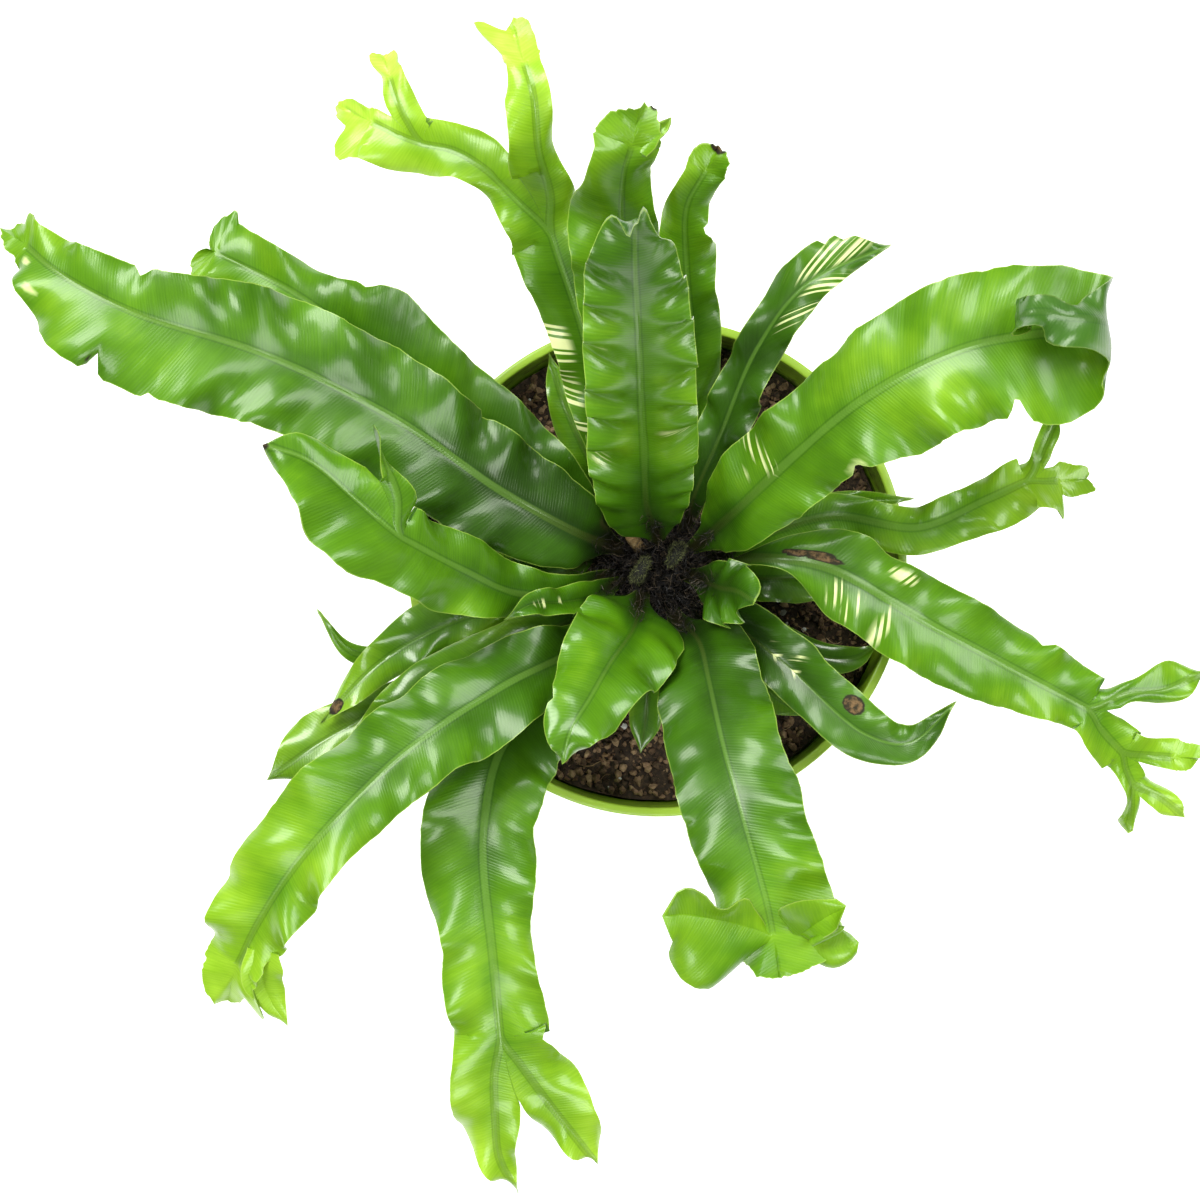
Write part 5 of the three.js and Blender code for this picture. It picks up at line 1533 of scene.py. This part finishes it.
def leaf_finish(name, roughness, coat, tone_shift=0.0):
    """A finish for one group of fronds, with its own gloss. Each layer covers the ones before it."""
    material, net, shader = new_material(name, coat_roughness=0.19, specular_ior_level=0.42,
                                         specular_tint=(0.85, 1.0, 0.7, 1.0))
    along, edge, tone, ribbed, rib_width, old, slant = (
        net.fact(title) for title in ("along", "edge", "tone", "ribbed", "rib", "brown", "slant"))
    off_rib = abs(net.fact("reach"))
    vein_run = along - off_rib * slant
    place = net.place()
    patch = net.noise(place, 30, 3, 0.55)
    stretched = net.vector(vein_run, off_rib * 0.08, tone)
    streak = net.noise(stretched, 0.55, 3, 0.6)
    fine = net.noise(stretched, 2.6, 2, 0.5)
    vein = (vein_run * (TAU / FINE_VEIN) + streak * 9.0).sin()
    green_at = tone + (patch - 0.5) * 0.56 + (streak - 0.5) * 0.1 + (fine - 0.5) * 0.05 + vein * 0.01
    near_rib = off_rib.step(7.0, 1.0) * (along.step(90.0, 20.0) * 0.1 + 0.05) * ribbed
    green = net.ramp(GREENS, green_at - near_rib + tone_shift)
    off_ridge = off_rib - rib_width
    on_rib = off_ridge.step(0.4, -0.2) * ribbed
    rib_paint = net.mix(along.step(20.0, 80.0), screen(58, 66, 24), screen(98, 140, 50))
    rib_paint = net.mix(along.step(110.0, 190.0) * 0.6, rib_paint, screen(88, 118, 36))
    # A dark green band just beside the rib's ridge, on both sides, is painted shade: the shadow in the groove
    # along the rib.
    beside = off_ridge.step(0.9, 0.45) * off_ridge.step(0.0, 0.4)
    stripe = net.noise(net.vector(vein_run, off_rib * 0.02, tone), 0.5, 1, 0.5).step(0.52, 0.57)
    brown = (old + (net.noise(place, 420, 4, 0.7) - 0.5) * 0.5 * old.step(0.0, 0.2)).step(0.3, 0.6)
    core = (old * 0.6 + net.noise(place, 700, 3, 0.6) * 0.8).step(0.85, 1.15)
    root = along.step(30.0, 8.0) * off_rib.step(5.0, 1.0)
    colour = green
    for cover, paint in (
            (on_rib * 0.55, rib_paint),
            (beside * ribbed * 0.35, screen(28, 62, 14)),
            (edge.step(0.4, 0.1) * 0.55, screen(172, 204, 84)),
            ((net.fact("cream") * stripe).at_most(1.0), screen(232, 240, 170)),
            (net.fact("pale"), screen(214, 232, 150)),
            (brown, net.mix(core, screen(36, 26, 16), screen(120, 92, 60))),
            (root * 0.9, screen(28, 20, 12)),
            # Undersides get their own green, painted darker as painted shade for the curls and folds where
            # they show.
            (net.fact("under") * 0.7, screen(44, 84, 32))):
        colour = net.mix(cover, colour, paint)
    relief = vein * 0.45 + fine * 0.4 + streak * 0.7 + net.noise(place, 1500, 2, 0.5) * 0.45
    rough = roughness + (patch - 0.5) * 0.16 + brown * 0.35 + (fine - 0.5) * 0.06
    feed(net, shader, base_color=colour, roughness=rough, normal=net.bump(relief, 0.6, 0.05 * MM),
         coat_weight=(coat * (1 - brown * 0.9)))
    return material


leaf = leaf_finish("leaf", 0.36, 0.38)
leaf_glossy = leaf_finish("leaf_glossy", 0.32, 0.62)
leaf_dark = leaf_finish("leaf_dark", 0.34, 0.95, 0.05)
print("leaf finish:", len(leaf.node_tree.nodes), "nodes")

# %% Fronds
STALK_HAIR_LENGTH = 26
stalks = []
for group, slot, finish in ((LONG_FRONDS, "leaf", leaf), (INNER_FRONDS, "leaf_glossy", leaf_glossy),
                            (LOW_FRONDS, "leaf_dark", leaf_dark)):
    for frond in group:
        blade = lay_frond(frond)
        stalks.append([place for place, facts in zip(blade.places, blade.facts)
                       if facts[2] == 0 and facts[1] < STALK_HAIR_LENGTH])
        depth, length, phase = frond["ripple"]
        piece = bake(frond["name"] + "_blade", shell_mesh(blade, frond["name"]), relief_tree, finish,
                     Ripple_Depth=depth, Ripple_Length=float(length), Phase=phase,
                     Full_From=0.4 * frond["length"])
        settle(piece, slot, "frond_" + frond["name"], sharp_above=50)

# %% [markdown]
# ## Croziers and the cut stub
# Two young fronds are still rolled up in the crown, as small woolly coils, and one old stalk was cut and
# shows its pale pith. Both are rods along a few points, with hairs on the coils.

# %% Rods
CROZIERS = (("crozier_middle", 205, 70, 60, 3.4), ("crozier_front", 42, 66, 240, 3.0))
NECK = 5
BUD_RADIUS = 1.9
COIL_STEPS = 28
COIL_TURN = 250
COIL_SHRINKS = 0.45
BUD_THINS = 0.5
UP = np.array((0, 0, 1))


def rod(points, radii, sides):
    """A round closed rod along a list of points, in mm, with a radius for each point."""
    skin_points, faces, left = [], [], np.array((1.0, 0, 0))
    for i, point in enumerate(points):
        tangent = points[min(i + 1, len(points) - 1)] - points[max(i - 1, 0)]
        tangent = tangent / np.linalg.norm(tangent)
        left = left - tangent * left.dot(tangent)
        left = left / np.linalg.norm(left)
        face = np.cross(tangent, left)
        for k in range(sides):
            angle = TAU * k / sides
            across = left * radii[i] * math.cos(angle)
            skin_points.append(point + across + face * radii[i] * math.sin(angle))
    for i in range(len(points) - 1):
        for k in range(sides):
            n = (k + 1) % sides
            faces.append((i * sides + k, i * sides + n, (i + 1) * sides + n, (i + 1) * sides + k))
    faces.append(tuple(reversed(range(sides))))
    faces.append(tuple((len(points) - 1) * sides + k for k in range(sides)))
    return skin_points, faces


bud_green = earth("bud_wool", ((12, 12, 8), (38, 42, 20), (84, 96, 48)), 500, 2000, 0.75)
wool = earth("wool", ((26, 25, 14), (84, 88, 50), (156, 164, 104)), 500, 2000, 0.7)
pith = earth("cut_pith", ((120, 96, 56), (198, 180, 134), (232, 222, 184)), 600, 2400, 0.7)
print("rods for the croziers", [name for name, *_ in CROZIERS], "and the cut stalk")

# %% Croziers
for name, azimuth, rise, heading, coil in CROZIERS:
    seat, normal = crown_seat(azimuth, rise)
    forward = in_plane(heading, (1, 0, 0))
    neck = seat + normal * NECK
    middle = neck + forward * coil
    points, radii = [seat, (seat + neck) / 2, neck], [BUD_RADIUS] * 3
    for i in range(1, COIL_STEPS + 1):
        share = i / COIL_STEPS
        turn = math.pi - share * math.radians(COIL_TURN)
        reach = coil * (1 - COIL_SHRINKS * share)
        points.append(middle + forward * reach * math.cos(turn) + UP * reach * math.sin(turn))
        radii.append(BUD_RADIUS * (1 - BUD_THINS * share))
    skin_points, faces = rod(points, radii, 20)
    bud_mesh = mesh_from(name, np.array(skin_points) * MM, faces)
    bud = new_object(name + "_coil", bud_mesh.copy(), bud_green)
    settle(bud, "young_bud", name, sharp_above=60)
    coat = bake(name + "_wool", bud_mesh, hair, wool, Density=4500000.0, Seed=4, Length=1.6,
                Thickness=0.06, Bend=0.6, Curl=0.8)
    settle(coat, "young_bud", sharp_above=80)

# %% [markdown]
# ## Hairs on the stalks
# The black-brown hairs of the crown go on up each stalk for two or three centimetres. A thin rod along
# each stalk's rib is only the ground that the hair tree grows on, and the rods themselves aren't kept.

# %% Stalk hairs
STALK_RADIUS = 1.7
points, faces = [], []
for stalk in stalks:
    skin_points, skin_faces = rod(stalk, [STALK_RADIUS] * len(stalk), 8)
    faces += [tuple(i + len(points) for i in face) for face in skin_faces]
    points += skin_points
stalk_hairs = bake("stalk_hairs", mesh_from("stalk_skin", np.array(points) * MM, faces), hair, fuzz_brown,
                   Density=330000.0, Seed=12, Length=4.2, Thickness=0.11, Bend=0.9, Curl=2.2)
settle(stalk_hairs, "rootstock", sharp_above=80)

# %% Stub
STUB_SEAT = (132, 56)
STUB_LENGTH = 7.0
STUB_RADIUS, CUT_RADIUS = 2.1, 1.7
TINY = 1e-4

seat, normal = crown_seat(*STUB_SEAT)
shares = [0, 0.3, 0.6, 0.85, 0.97, 1.0, 1.0, 0.96]
widths = [STUB_RADIUS * w for w in (1, 1.02, 0.95)] + [CUT_RADIUS * w for w in (1.05, 1, 0.9, 0.6, 0.2)]
course = [seat + normal * STUB_LENGTH * share for share in np.array(shares) + np.arange(len(shares)) * TINY]
skin_points, faces = rod(course, widths, 24)
stub = new_object("stub", mesh_from("stub", np.array(skin_points) * MM, faces), pith)
settle(stub, "cut_stalk", "stalk_stub", sharp_above=60)

# %% [markdown]
